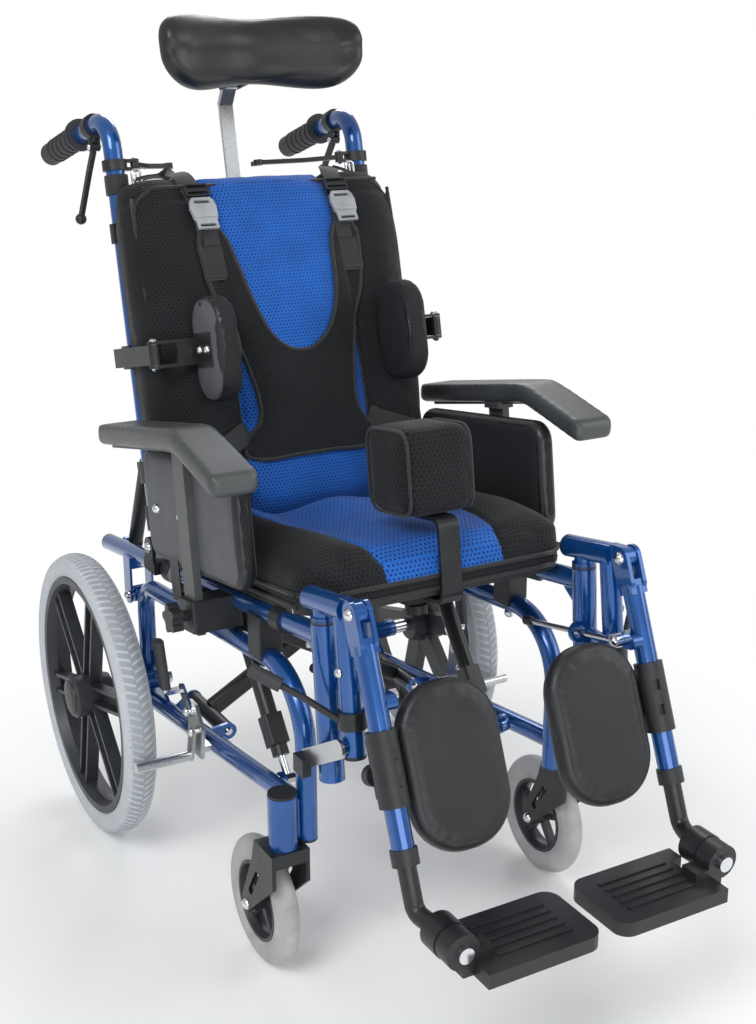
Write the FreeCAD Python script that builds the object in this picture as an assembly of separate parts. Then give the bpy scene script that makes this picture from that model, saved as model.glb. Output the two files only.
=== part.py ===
import FreeCAD, Part
import math
import os

# Tilt in space wheelchair, millimetres. The chair faces -Y, +Z is up and +X is the occupant's left.
# While it is built, the rear axle lies on Y = 0. At the end all is moved so that the middle of the
# floor box is the origin. Paired pieces are made on the +X side and mirrored.

# Driving dimensions: wheels
REAR_RADIUS = 203.0
REAR_TYRE_WIDTH = 44.0
REAR_TYRE_DEPTH = 31.0
REAR_WHEEL_X = 276.0
REAR_HUB_RADIUS = 31.0
REAR_HUB_OUT = 34.0
REAR_HUB_IN = 24.0
SPOKES = 6
SPOKE_WIDTH = 30.0
AXLE_RADIUS = 6.35
CASTER_RADIUS = 82.0
CASTER_WIDTH = 30.0
CASTER_RIM_RADIUS = 51.0
CASTER_TRAIL = 58.0
CASTER_SPOKES = 5
FORK_PLATE = 5.0
FORK_GAP = 5.0
STEM_RADIUS = 6.0
HOUSING_RADIUS = 18.2
HOUSING_TOP = 254.0
HOUSING_BOTTOM = 186.0

# Driving dimensions: base frame
TUBE_RADIUS = 12.7
TUBE_WALL = 2.0
FRAME_X = 180.0
BASE_RAIL_PITCH = 5.9
BASE_RAIL_Z = 346.0
LOWER_RAIL_PITCH = 7.2
LOWER_RAIL_Z = 166.0
FRONT_POST_Y = -490.0
FRONT_POST_BOTTOM = 190.0
FRONT_BEND = 84.0
REAR_LEG_Y = 27.0
REAR_BEND = 44.0
TIP_STUB = 75.0
AXLE_SLEEVE_RADIUS = 13.5
BRACE_Y = -130.0
BRACE_LENGTH = 116.0
BRACE_X = 150.0
BRACE_SLEEVE_RADIUS = 11.0
BRACE_SECTION = 26.0
BRACE_THICKNESS = 18.0
BRACE_LOW_Z = 193.0
BRACE_HIGH_Z = 360.0

# Driving dimensions: seat frame
SEAT_PITCH = 8.0
SEAT_TUBE_Y = -481.0
SEAT_TUBE_Z = 457.0
SEAT_TUBE_REAR = 172.0
TILT_Y = 52.0
TILT_Z = 322.0
SOCKET_Y = -548.0
SOCKET_LEAN = 5.0
SOCKET_TOP = 482.0
SOCKET_BOTTOM = 297.0
SADDLE_Y = -385.0
SADDLE_LENGTH = 34.0
RECLINE_Y = -60.0
RECLINE_RISE = 32.0
BACK_LEAN = 11.8
CANE_X = 185.0
CLEARANCE = 0.3
RUNNING = 0.08

# Driving dimensions: upholstery
CUSHION_HALF = 184.0
CUSHION_FRONT = -517.0
CUSHION_REAR = -197.0
CUSHION_EDGE = 36.0
BOARD_THICKNESS = 6.0
BACK_HALF = 205.0
BACK_BOTTOM = 12.0
BACK_TOP = 492.0
BACK_REAR = -14.0

# Driving dimensions: armrests and supports
ARM_X = 234.0
ARM_POST_Y = -296.0
ARM_POST_DEPTH = 34.0
ARM_POST_WIDTH = 10.0
ARM_PAD_X = 247.0
ARM_PAD_WIDTH = 58.0
ARM_PAD_THICKNESS = 26.0
HIP_X = 203.0
HIP_THICKNESS = 24.0
TRUNK_X = 138.0
TRUNK_THICKNESS = 30.0
POMMEL_WIDTH = 96.0
POMMEL_HEIGHT = 106.0
POMMEL_DEPTH = 100.0
POMMEL_FRONT = -520.0

# Driving dimensions: back tubes and headrest
CANE_TOP = 585.0
CANE_BEND = 42.0
HANDLE_DROP = 15.0
HANDLE_LENGTH = 232.0
GRIP_LENGTH = 124.0
GRIP_RADIUS = 16.5
HEAD_BAR_HEIGHT = 430.0
HEAD_POST_WIDTH = 20.0
HEAD_POST_THICKNESS = 6.0
HEAD_WIDTH = 288.0
HEAD_HEIGHT = 100.0

# Driving dimensions: legrests
LEG_X = 180.0
HANGER_TUBE_RADIUS = 14.0
KNEE_Y = -618.0
KNEE_Z = 520.0
HANGER_DROP_OFFSET = 48.0
HANGER_BOTTOM = 352.0
LEG_ANGLE = 22.5
LEG_LENGTH = 266.0
FOOT_TUBE_RADIUS = 10.5
FOOT_INSERT = 120.0
FOOT_REACH = 318.0
CALF_CENTRE = 180.0
CALF_HEIGHT = 185.0
CALF_WIDTH = 124.0
CALF_THICKNESS = 26.0
FOOT_HINGE_X = 172.0
FOOT_HINGE_Z = 222.0
PLATE_TOP = 207.0
PLATE_THICKNESS = 17.0
PLATE_REAR = -748.0
PLATE_FRONT = -846.0
PLATE_INNER = 12.0


def vec(x, y, z):
    return FreeCAD.Vector(x, y, z)


X_AXIS = vec(1, 0, 0)
Y_AXIS = vec(0, 1, 0)
Z_AXIS = vec(0, 0, 1)
ORIGIN = vec(0, 0, 0)


def mirrored(shape):
    return shape.mirror(ORIGIN, X_AXIS)


def cylinder(start, end, radius):
    axis = end - start
    return Part.makeCylinder(radius, axis.Length, start, axis)


def cross_pin(y, z, x_start, x_end, radius):
    return cylinder(vec(x_start, y, z), vec(x_end, y, z), radius)


def fused(shapes):
    shapes = list(shapes)
    if len(shapes) == 1:
        return shapes[0]
    return shapes[0].multiFuse(shapes[1:]).removeSplitter()


def box_between(low, high):
    size = high - low
    return Part.makeBox(size.x, size.y, size.z, low)


def rounded_box(low, high, radius):
    solid = box_between(low, high)
    return solid.makeFillet(radius, solid.Edges)


def bent_path(points, radii):
    """Straight runs joined by tangent arcs, one radius for each inner point."""
    edges = []
    start = points[0]
    for index, radius in enumerate(radii, 1):
        corner = points[index]
        towards = (corner - points[index - 1]).normalize()
        away = (points[index + 1] - corner).normalize()
        half_turn = towards.getAngle(away) / 2
        reach = radius * math.tan(half_turn)
        arc_start = corner - towards * reach
        arc_end = corner + away * reach
        centre_way = (away - towards).normalize()
        middle = corner + centre_way * (radius / math.cos(half_turn) - radius)
        if (arc_start - start).Length > 0.01:
            edges.append(Part.LineSegment(start, arc_start).toShape())
        edges.append(Part.Arc(arc_start, middle, arc_end).toShape())
        start = arc_end
    edges.append(Part.LineSegment(start, points[-1]).toShape())
    return Part.Wire(edges)


def pipe(points, radii, radius):
    if len(points) == 2:
        return cylinder(points[0], points[1], radius)
    path = bent_path(points, radii)
    ring = Part.Wire(Part.makeCircle(radius, points[0], points[1] - points[0]))
    return path.makePipeShell([ring], True, False)


def hollow_frame(runs, wall, welded):
    """Tubes welded into one hollow frame with the pieces on them. Each run is points, radii and radius."""
    outer = fused([pipe(*run) for run in runs] + welded)
    bores = [pipe(points, radii, radius - wall) for points, radii, radius in runs]
    for bore in bores:
        outer = outer.cut(bore)
    return outer


def plate(outline, x_start, x_end):
    """A plate square to X from an outline of (y, z) corners."""
    corners = [vec(x_start, y, z) for y, z in outline]
    face = Part.Face(Part.makePolygon(corners + corners[:1]))
    return face.extrude(vec(x_end - x_start, 0, 0))


def link(start, end, radius, through):
    """A round-ended plate between two centres on its first face, as thick as the vector through."""
    side = (end - start).cross(through).normalize() * radius
    corners = [start + side, start - side, end - side, end + side]
    body = Part.Face(Part.makePolygon(corners + corners[:1])).extrude(through)
    return fused([body, cylinder(start, start + through, radius), cylinder(end, end + through, radius)])


def bar(start, end, width, depth, rounding=0.0):
    """A straight bar of rectangular section. Width and depth are vectors square to its run."""
    low = start - width * 0.5 - depth * 0.5
    corners = [low, low + width, low + width + depth, low + depth]
    run = end - start
    solid = Part.Face(Part.makePolygon(corners + corners[:1])).extrude(run)
    if rounding:
        way = vec(run.x, run.y, run.z).normalize()
        edges = [edge for edge in solid.Edges if abs(edge.tangentAt(edge.FirstParameter).dot(way)) > 0.99]
        solid = solid.makeFillet(rounding, edges)
    return solid


def strip(points, radii, width, thickness):
    """A flat bar bent across its thickness. Width is a vector square to the path's plane."""
    path = bent_path(points, radii)
    way = (points[1] - points[0]).normalize()
    depth = width.cross(way).normalize() * thickness
    low = points[0] - width * 0.5 - depth * 0.5
    corners = [low, low + width, low + width + depth, low + depth]
    section = Part.makePolygon(corners + corners[:1])
    return path.makePipeShell([section], True, False)


def turned(profile, centre):
    """A body turned about an axis along X. The profile holds (x, radius) corners."""
    corners = [vec(centre.x + x, centre.y, centre.z + radius) for x, radius in profile]
    face = Part.Face(Part.makePolygon(corners + corners[:1]))
    return face.revolve(centre, X_AXIS, 360)


def dome_bolt(place, way, radius, head, length):
    """A bolt with a domed head: the shank runs from the place along the way."""
    shank = cylinder(place, place + way * length, radius)
    button = Part.makeSphere(head, place + way * head * 0.35)
    block = Part.makeCylinder(head * 1.2, head * 1.6, place, way)
    return fused([shank, button.cut(block)])


def slope_y(angle, run):
    return run * math.tan(math.radians(angle))


def seat_z(y):
    """Height of the seat tube's centre line."""
    return SEAT_TUBE_Z + slope_y(SEAT_PITCH, SEAT_TUBE_Y - y)


def base_z(y):
    """Height of the base frame's upper rail."""
    return BASE_RAIL_Z - slope_y(BASE_RAIL_PITCH, y)


def lower_z(y):
    """Height of the base frame's lower rail."""
    return LOWER_RAIL_Z - slope_y(LOWER_RAIL_PITCH, y)


def socket_point(x, z):
    """A point on the axis of the front socket, which leans."""
    return vec(x, SOCKET_Y + slope_y(SOCKET_LEAN, z - (SOCKET_TOP + SOCKET_BOTTOM) / 2), z)


SEAT_UP = vec(0, math.sin(math.radians(SEAT_PITCH)), math.cos(math.radians(SEAT_PITCH)))
SEAT_FORWARD = vec(0, -math.cos(math.radians(SEAT_PITCH)), math.sin(math.radians(SEAT_PITCH)))
SOCKET_UP = vec(0, math.sin(math.radians(SOCKET_LEAN)), math.cos(math.radians(SOCKET_LEAN)))
RECLINE_Z = seat_z(RECLINE_Y) + RECLINE_RISE
RECLINE = vec(0, RECLINE_Y, RECLINE_Z)
BACK_UP = vec(0, math.sin(math.radians(BACK_LEAN)), math.cos(math.radians(BACK_LEAN)))
BACK_REARWARD = vec(0, math.cos(math.radians(BACK_LEAN)), -math.sin(math.radians(BACK_LEAN)))
KNEE = vec(LEG_X, KNEE_Y, KNEE_Z)
LEG_DOWN = vec(0, -math.sin(math.radians(LEG_ANGLE)), -math.cos(math.radians(LEG_ANGLE)))
LEG_REARWARD = vec(0, math.cos(math.radians(LEG_ANGLE)), -math.sin(math.radians(LEG_ANGLE)))


def back_point(x, rearward, height):
    """A place in the back's own frame: on the cane axis at zero, height along the cane."""
    return RECLINE + vec(x, 0, 0) + BACK_REARWARD * rearward + BACK_UP * height


def seat_point(x, y, rise):
    """A place above the seat tube's centre line, square to the seat."""
    return vec(x, y, seat_z(y)) + SEAT_UP * rise


def leg_point(x, rearward, down):
    """A place in the legrest's own frame: down along the tube from the knee pin."""
    return vec(x, KNEE_Y, KNEE_Z) + LEG_REARWARD * rearward + LEG_DOWN * down


def placed_back(shape):
    """Moves a shape drawn upright at the origin into the reclining back's frame."""
    moved = shape.copy()
    moved.rotate(ORIGIN, X_AXIS, -BACK_LEAN)
    moved.translate(RECLINE)
    return moved


def placed_seat(shape, origin_y):
    """Moves a shape drawn level at the origin onto the sloping seat, at a place along it."""
    moved = shape.copy()
    moved.rotate(ORIGIN, X_AXIS, -SEAT_PITCH)
    moved.translate(vec(0, origin_y, seat_z(origin_y)))
    return moved


def placed_leg(shape):
    """Moves a shape drawn hanging from the origin into the legrest's frame."""
    moved = shape.copy()
    moved.rotate(ORIGIN, X_AXIS, -LEG_ANGLE)
    moved.translate(vec(0, KNEE_Y, KNEE_Z))
    return moved


# Where the base parts lie
HOUSING_X = FRAME_X + TUBE_RADIUS + HOUSING_RADIUS + 1.0
CASTER_CENTRE = vec(HOUSING_X, FRONT_POST_Y + CASTER_TRAIL, CASTER_RADIUS)
REAR_CENTRE = vec(REAR_WHEEL_X, 0, REAR_RADIUS)
HUB_INNER_X = REAR_WHEEL_X - REAR_HUB_IN
BRACE_MID_Z = (BRACE_LOW_Z + BRACE_HIGH_Z) / 2
BRACE_OFFSET = BRACE_THICKNESS / 2 + 0.5
LUG = 5.0
BOLT = 4.0
PIVOT_BOLT = 5.0
STRUT_X = 151.0
STRUT_LOW = vec(STRUT_X, -383.0, 205.0)
STRUT_HIGH = vec(STRUT_X, -225.0, 410.0)
STRUT_RADIUS = 11.0
STRUT_ROD = 5.0
STRUT_EYE = 10.0
RECLINE_STRUT_X = 151.0
RECLINE_GRIP = 228.0
RECLINE_LOW = vec(RECLINE_STRUT_X, 140.0, seat_z(140.0))
RECLINE_HIGH = back_point(RECLINE_STRUT_X, 22.0, RECLINE_GRIP)


def side_frame():
    low_corner = vec(FRAME_X, REAR_LEG_Y, lower_z(REAR_LEG_Y))
    rear_corner = vec(FRAME_X, REAR_LEG_Y, base_z(REAR_LEG_Y))
    front_corner = vec(FRAME_X, FRONT_POST_Y, base_z(FRONT_POST_Y))
    post_foot = vec(FRAME_X, FRONT_POST_Y, FRONT_POST_BOTTOM)
    hoop = ([low_corner, rear_corner, front_corner, post_foot], [REAR_BEND, FRONT_BEND], TUBE_RADIUS)
    rail_rear = vec(FRAME_X, TIP_STUB, lower_z(TIP_STUB))
    rail_front = vec(FRAME_X, FRONT_POST_Y, lower_z(FRONT_POST_Y))
    rail_joint = rail_front + (rail_rear - rail_front).normalize() * (TUBE_RADIUS + 2)
    rail = ([rail_rear, rail_joint], [], TUBE_RADIUS)
    # Caster housing with a bearing seat at each end, welded to the post
    top = vec(HOUSING_X, FRONT_POST_Y, HOUSING_TOP)
    bottom = vec(HOUSING_X, FRONT_POST_Y, HOUSING_BOTTOM)
    housing = cylinder(bottom, top, HOUSING_RADIUS)
    weld_low = vec(FRAME_X + TUBE_RADIUS - 3, FRONT_POST_Y - 4, HOUSING_BOTTOM + 8)
    weld_high = vec(HOUSING_X - HOUSING_RADIUS + 3, FRONT_POST_Y + 4, HOUSING_TOP - 10)
    # Axle sleeve and its gusset in the rear corner
    sleeve = cross_pin(0, REAR_RADIUS, FRAME_X - 16, FRAME_X + 44, AXLE_SLEEVE_RADIUS)
    gusset = plate(
        [
            (REAR_LEG_Y, REAR_RADIUS + 52),
            (-58, lower_z(-58)),
            (REAR_LEG_Y, lower_z(REAR_LEG_Y)),
        ],
        FRAME_X - 2.5,
        FRAME_X + 2.5,
    )
    # Tilt boss behind the rear leg
    boss = cross_pin(TILT_Y, TILT_Z, FRAME_X - 11, FRAME_X + 11, 12)
    boss_web = box_between(
        vec(FRAME_X - 8, REAR_LEG_Y - 4, TILT_Z - 9), vec(FRAME_X + 8, TILT_Y - 6, TILT_Z + 9)
    )
    rail_weld = cylinder(rail_joint, rail_front, TUBE_RADIUS)
    parts = [housing, box_between(weld_low, weld_high), sleeve, gusset, boss, boss_web, rail_weld]
    # Lugs for the sleeves of the crossed braces
    for rail_height, pin_height in ((lower_z, BRACE_LOW_Z), (base_z, BRACE_HIGH_Z)):
        for end in (-1, 1):
            y = BRACE_Y + end * (BRACE_LENGTH / 2 + CLEARANCE + LUG / 2)
            rail_centre = vec(FRAME_X - 6, y - LUG / 2, rail_height(y))
            pin_centre = vec(BRACE_X, y - LUG / 2, pin_height)
            parts.append(link(rail_centre, pin_centre, BRACE_SLEEVE_RADIUS + 1, vec(0, LUG, 0)))
    # Strut lug and the plate of the wheel lock
    strut_face = vec(FRAME_X - TUBE_RADIUS - 3, 0, 0)
    lug_start = vec(strut_face.x, STRUT_LOW.y, STRUT_LOW.z)
    lug_end = vec(strut_face.x, STRUT_LOW.y - 14, lower_z(STRUT_LOW.y - 14))
    parts.append(link(lug_start, lug_end, 12, vec(5, 0, 0)))
    parts.append(lock_plate())
    frame = hollow_frame([hoop, rail], TUBE_WALL, parts)
    bores = [
        cylinder(bottom + Z_AXIS * 12, top - Z_AXIS * 12, HOUSING_RADIUS - 4),
        cylinder(bottom, top, STEM_RADIUS + RUNNING),
        cross_pin(0, REAR_RADIUS, FRAME_X - 20, FRAME_X + 50, AXLE_RADIUS + RUNNING),
        cross_pin(TILT_Y, TILT_Z, FRAME_X - 20, FRAME_X + 20, PIVOT_BOLT + RUNNING),
        cross_pin(STRUT_LOW.y, STRUT_LOW.z, STRUT_X, FRAME_X - TUBE_RADIUS + 4, BOLT + RUNNING),
        cylinder(vec(FRAME_X, SADDLE_Y, base_z(SADDLE_Y) - 30), saddle_top(), SADDLE_BOLT + RUNNING),
    ]
    for pin_height in (BRACE_LOW_Z, BRACE_HIGH_Z):
        bores.append(
            cylinder(
                vec(BRACE_X, BRACE_Y - BRACE_LENGTH, pin_height),
                vec(BRACE_X, BRACE_Y + BRACE_LENGTH, pin_height),
                BOLT + RUNNING,
            )
        )
    for axis_y, axis_z, radius in lock_holes():
        bores.append(cross_pin(axis_y, axis_z, FRAME_X + TUBE_RADIUS, LOCK_X + 30, radius))
    for bore in bores:
        frame = frame.cut(bore)
    # Plugs in the post foot and on the housing
    plug_foot = cylinder(post_foot - Z_AXIS * 3, post_foot - Z_AXIS * 0.05, TUBE_RADIUS)
    plug_neck = cylinder(post_foot - Z_AXIS * 0.5, post_foot + Z_AXIS * 12, TUBE_RADIUS - TUBE_WALL - 0.1)
    housing_cap = cylinder(top + Z_AXIS * 0.05, top + Z_AXIS * 3, HOUSING_RADIUS - 0.6)
    return Part.makeCompound([frame, plug_foot.fuse(plug_neck), housing_cap])


SADDLE_BOLT = 3.0


def saddle_top():
    return vec(FRAME_X, SADDLE_Y, (base_z(SADDLE_Y) + seat_z(SADDLE_Y)) / 2 + 2)


# Wheel lock: a plate on the lower rail carries a hand lever and a shoe that swings to the tyre
LOCK_X = 226.0
LOCK_PIVOT = (-212.0, 246.0)
SHOE_PIVOT = (-226.0, 222.0)
SHOE_BAR = (-217.0, 184.0)
SHOE_RADIUS = 7.0
GRIP_FOOT = (-186.0, 268.0)
GRIP_HEAD = (-172.0, 334.0)


def lock_plate():
    low_y = -232.0
    post = box_between(vec(FRAME_X + 11.6, low_y, lower_z(low_y) - 4), vec(FRAME_X + 30, low_y + 34, lower_z(low_y) + 4))
    outline = [
        (low_y - 6, lower_z(low_y) - 10),
        (low_y - 12, SHOE_PIVOT[1] + 8),
        (LOCK_PIVOT[0] - 10, LOCK_PIVOT[1] + 12),
        (LOCK_PIVOT[0] + 12, LOCK_PIVOT[1] + 12),
        (LOCK_PIVOT[0] + 20, lower_z(low_y) - 10),
    ]
    return fused([post, plate(outline, FRAME_X + 30 - LUG, FRAME_X + 30)])


def lock_holes():
    return [(*LOCK_PIVOT, BOLT + RUNNING), (*SHOE_PIVOT, BOLT + RUNNING)]


def lock_lever():
    inner = FRAME_X + 30 + CLEARANCE
    pivot = vec(inner, *LOCK_PIVOT)
    arm = link(pivot, vec(inner, *GRIP_FOOT), 8, vec(4, 0, 0))
    bend = bar(vec(inner + 2, *GRIP_FOOT), vec(LOCK_X + 10, GRIP_FOOT[0], GRIP_FOOT[1]), vec(0, 12, 0), vec(0, 0, 5))
    neck = cylinder(vec(LOCK_X + 10, *GRIP_FOOT), vec(LOCK_X + 12, *GRIP_HEAD), 4)
    steel = fused([arm, bend, neck])
    steel = steel.cut(cross_pin(*LOCK_PIVOT, FRAME_X, LOCK_X + 30, BOLT + RUNNING))
    foot = vec(LOCK_X + 10, *GRIP_FOOT)
    head = vec(LOCK_X + 12, *GRIP_HEAD)
    run = head - foot
    grip = bar(foot + run * 0.1, head + run * 0.06, vec(13, 0, 0), vec(0, 20, 0), 6)
    return Part.makeCompound([steel, grip.cut(cylinder(foot - run, head + run * 0.01, 4.05))])


def lock_shoe():
    inner = FRAME_X + 30 + CLEARANCE + 4 + CLEARANCE
    arm = link(vec(inner, *SHOE_PIVOT), vec(inner, *SHOE_BAR), 8, vec(4, 0, 0))
    roller = cross_pin(*SHOE_BAR, inner + 2, REAR_WHEEL_X + REAR_TYRE_WIDTH / 2 - 4, SHOE_RADIUS)
    shoe = fused([arm, roller])
    return shoe.cut(cross_pin(*SHOE_PIVOT, FRAME_X, inner + 6, BOLT + RUNNING))


def saddle():
    top = seat_z(SADDLE_Y) - 2
    low = vec(FRAME_X - 16, SADDLE_Y - SADDLE_LENGTH / 2, base_z(SADDLE_Y) - 1)
    high = vec(FRAME_X + 16, SADDLE_Y + SADDLE_LENGTH / 2, top)
    block = rounded_box(low, high, 2.5)
    rail_rear = vec(FRAME_X, 0, base_z(0))
    rail_front = vec(FRAME_X, FRONT_POST_Y, base_z(FRONT_POST_Y))
    corner = vec(FRAME_X, FRONT_POST_Y, FRONT_POST_BOTTOM)
    block = block.cut(pipe([rail_rear, rail_front, corner], [FRONT_BEND], TUBE_RADIUS + 0.1))
    tube = cylinder(
        vec(FRAME_X, SADDLE_Y - SADDLE_LENGTH, seat_z(SADDLE_Y - SADDLE_LENGTH)),
        vec(FRAME_X, SADDLE_Y + SADDLE_LENGTH, seat_z(SADDLE_Y + SADDLE_LENGTH)),
        TUBE_RADIUS + CLEARANCE,
    )
    bolt_hole = cylinder(vec(FRAME_X, SADDLE_Y, base_z(SADDLE_Y)), saddle_top(), SADDLE_BOLT + RUNNING)
    return block.cut(tube).cut(bolt_hole)


def brace_arm(side):
    """One arm of the crossed braces, from the low sleeve on this side to the high one opposite."""
    y = BRACE_Y - side * BRACE_OFFSET
    low = vec(side * BRACE_X, y, BRACE_LOW_Z)
    high = vec(-side * BRACE_X, y, BRACE_HIGH_Z)
    way = (high - low).normalize()
    across = way.cross(Y_AXIS) * BRACE_SECTION
    arm = bar(low + way * 8, high - way * 8, across, vec(0, BRACE_THICKNESS, 0), 7)
    reach = vec(0, BRACE_LENGTH / 2, 0)
    solids = [arm]
    for end in (low, high):
        centre = vec(end.x, BRACE_Y, end.z)
        solids.append(cylinder(centre - reach, centre + reach, BRACE_SLEEVE_RADIUS))
    shape = fused(solids)
    for end in (low, high):
        centre = vec(end.x, BRACE_Y, end.z)
        shape = shape.cut(cylinder(centre - reach * 2, centre + reach * 2, BOLT + RUNNING))
    middle = vec(0, BRACE_Y, BRACE_MID_Z)
    return shape.cut(cylinder(middle - reach, middle + reach, PIVOT_BOLT + RUNNING))


def bolt_along(start, end, radius, head):
    """A bolt through its joint with a domed head at both ends."""
    way = (end - start).normalize()
    shank = cylinder(start, end, radius)
    first = Part.makeSphere(head, start + way * head * 0.3).cut(Part.makeCylinder(head * 1.5, head * 3, start, way))
    last = Part.makeSphere(head, end - way * head * 0.3).cut(Part.makeCylinder(head * 1.5, head * 3, end, way * -1))
    return fused([shank, first, last])


def frame_bolts():
    bolts = []
    reach = BRACE_LENGTH / 2 + LUG + CLEARANCE + 0.1
    for height in (BRACE_LOW_Z, BRACE_HIGH_Z):
        centre = vec(BRACE_X, BRACE_Y, height)
        bolts.append(bolt_along(centre - Y_AXIS * reach, centre + Y_AXIS * reach, BOLT, 6.5))
    outer = CHEEK_OUT + 0.1
    tilt_centre = vec(FRAME_X, TILT_Y, TILT_Z)
    bolts.append(bolt_along(tilt_centre - X_AXIS * outer, tilt_centre + X_AXIS * outer, PIVOT_BOLT, 8))
    bolts.append(dome_bolt(STRUT_LOW - X_AXIS * 9, X_AXIS, BOLT, 6.5, 26.5))
    nut_place = vec(FRAME_X, SADDLE_Y, base_z(SADDLE_Y) - TUBE_RADIUS - 0.9)
    nut = Part.makeSphere(7, nut_place - Z_AXIS * 2)
    nut = nut.cut(Part.makeCylinder(20, 20, nut_place))
    bolts.append(nut.fuse(cylinder(nut_place - Z_AXIS * 2, saddle_top() - Z_AXIS, SADDLE_BOLT)))
    for place in (LOCK_PIVOT, SHOE_PIVOT):
        start = vec(FRAME_X + 30 - LUG - 0.1, *place)
        bolts.append(bolt_along(start, vec(FRAME_X + 30 + 9, *place), BOLT, 6.5))
    both = bolts + [mirrored(bolt) for bolt in bolts]
    middle = vec(0, BRACE_Y, BRACE_MID_Z)
    reach = Y_AXIS * (BRACE_THICKNESS + 1)
    both.append(bolt_along(middle - reach, middle + reach, PIVOT_BOLT, 8))
    return Part.makeCompound(both)


def rear_axle():
    head = cross_pin(0, REAR_RADIUS, FRAME_X - 22, FRAME_X - 16.1, 10)
    shank = cross_pin(0, REAR_RADIUS, FRAME_X - 22, REAR_WHEEL_X + 18, AXLE_RADIUS)
    spacer = cross_pin(0, REAR_RADIUS, FRAME_X + 44.1, HUB_INNER_X - CLEARANCE, 11)
    return fused([head, shank, spacer])


def tyre(centre, outer, inner, width, shoulder):
    """A tyre turned about X: bead, bulged side walls and a crowned tread."""
    half = width / 2
    middle = (outer + inner) / 2
    bead = half * 0.72
    edge = half * shoulder
    edge_radius = outer - (outer - inner) * 0.24

    def at(x, radius):
        return vec(centre.x + x, centre.y, centre.z + radius)

    edges = [
        Part.LineSegment(at(-bead, inner), at(bead, inner)).toShape(),
        Part.Arc(at(bead, inner), at(half, middle), at(edge, edge_radius)).toShape(),
        Part.Arc(at(edge, edge_radius), at(0, outer), at(-edge, edge_radius)).toShape(),
        Part.Arc(at(-edge, edge_radius), at(-half, middle), at(-bead, inner)).toShape(),
    ]
    return Part.Face(Part.Wire(edges)).revolve(centre, X_AXIS, 360)


def rear_wheel():
    inner = REAR_RADIUS - REAR_TYRE_DEPTH
    rim_outer = inner - 0.05
    rim = turned([(-18, rim_outer), (18, rim_outer), (18, rim_outer - 10), (4, rim_outer - 15), (-4, rim_outer - 15),
                  (-18, rim_outer - 10)], REAR_CENTRE)
    hub = turned([(-REAR_HUB_IN, 0), (-REAR_HUB_IN, REAR_HUB_RADIUS - 6), (-6, REAR_HUB_RADIUS),
                  (REAR_HUB_OUT - 4, REAR_HUB_RADIUS), (REAR_HUB_OUT, REAR_HUB_RADIUS - 3), (REAR_HUB_OUT, 0)],
                 REAR_CENTRE)
    spokes = []
    half = SPOKE_WIDTH / 2
    spoke_top = rim_outer - 12
    for index in range(SPOKES):
        web = box_between(vec(-6, -half, REAR_HUB_RADIUS - 8), vec(-1, half, spoke_top))
        flanges = [
            box_between(vec(-6, side - 2.5, REAR_HUB_RADIUS - 8), vec(12, side + 2.5, spoke_top))
            for side in (2.5 - half, half - 2.5)
        ]
        spoke = fused([web] + flanges)
        spoke.rotate(ORIGIN, X_AXIS, index * 360.0 / SPOKES + 15)
        spoke.translate(REAR_CENTRE)
        spokes.append(spoke)
    body = fused([rim, hub] + spokes)
    axle_room = cross_pin(0, REAR_RADIUS, HUB_INNER_X - 1, REAR_WHEEL_X + 20, AXLE_RADIUS + RUNNING)
    body = body.cut(axle_room)
    cap = turned([(REAR_HUB_OUT + 0.05, 0), (REAR_HUB_OUT + 0.05, 25), (REAR_HUB_OUT + 2, 24), (REAR_HUB_OUT + 4, 16),
                  (REAR_HUB_OUT + 4.6, 0)], REAR_CENTRE)
    rubber = tyre(REAR_CENTRE, REAR_RADIUS, inner, REAR_TYRE_WIDTH, 0.86)
    return Part.makeCompound([body, cap, rubber])


def caster_fork():
    half_gap = CASTER_WIDTH / 2 + FORK_GAP
    crown_top = HOUSING_BOTTOM - CLEARANCE
    crown_low = 2 * CASTER_RADIUS + 4
    front = FRONT_POST_Y - 20
    rear = FRONT_POST_Y + 30
    outline = [
        (front, crown_top),
        (rear, crown_top),
        (rear + 8, crown_low - 12),
        (CASTER_CENTRE.y + 12, CASTER_RADIUS + 6),
        (CASTER_CENTRE.y, CASTER_RADIUS - 13),
        (CASTER_CENTRE.y - 13, CASTER_RADIUS),
        (front, crown_low - 26),
    ]
    solids = [
        box_between(
            vec(HOUSING_X - half_gap - FORK_PLATE, front, crown_low),
            vec(HOUSING_X + half_gap + FORK_PLATE, rear, crown_top),
        ),
        cylinder(vec(HOUSING_X, FRONT_POST_Y, crown_low), vec(HOUSING_X, FRONT_POST_Y, HOUSING_TOP - 6), STEM_RADIUS),
    ]
    for start in (HOUSING_X - half_gap - FORK_PLATE, HOUSING_X + half_gap):
        solids.append(plate(outline, start, start + FORK_PLATE))
    body = fused(solids)
    slot_top = vec(HOUSING_X - half_gap - 9, FRONT_POST_Y + 24, crown_low - 28)
    slot_low = vec(HOUSING_X - half_gap - 9, CASTER_CENTRE.y - 14, CASTER_RADIUS + 26)
    body = body.cut(link(slot_top, slot_low, 5, vec(2 * half_gap + 18, 0, 0)))
    reach = half_gap + FORK_PLATE + 0.1
    body = body.cut(cylinder(CASTER_CENTRE - X_AXIS * 40, CASTER_CENTRE + X_AXIS * 40, PIVOT_BOLT + RUNNING))
    axle = bolt_along(CASTER_CENTRE - X_AXIS * reach, CASTER_CENTRE + X_AXIS * reach, PIVOT_BOLT, 7.5)
    return Part.makeCompound([body, axle])


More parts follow.
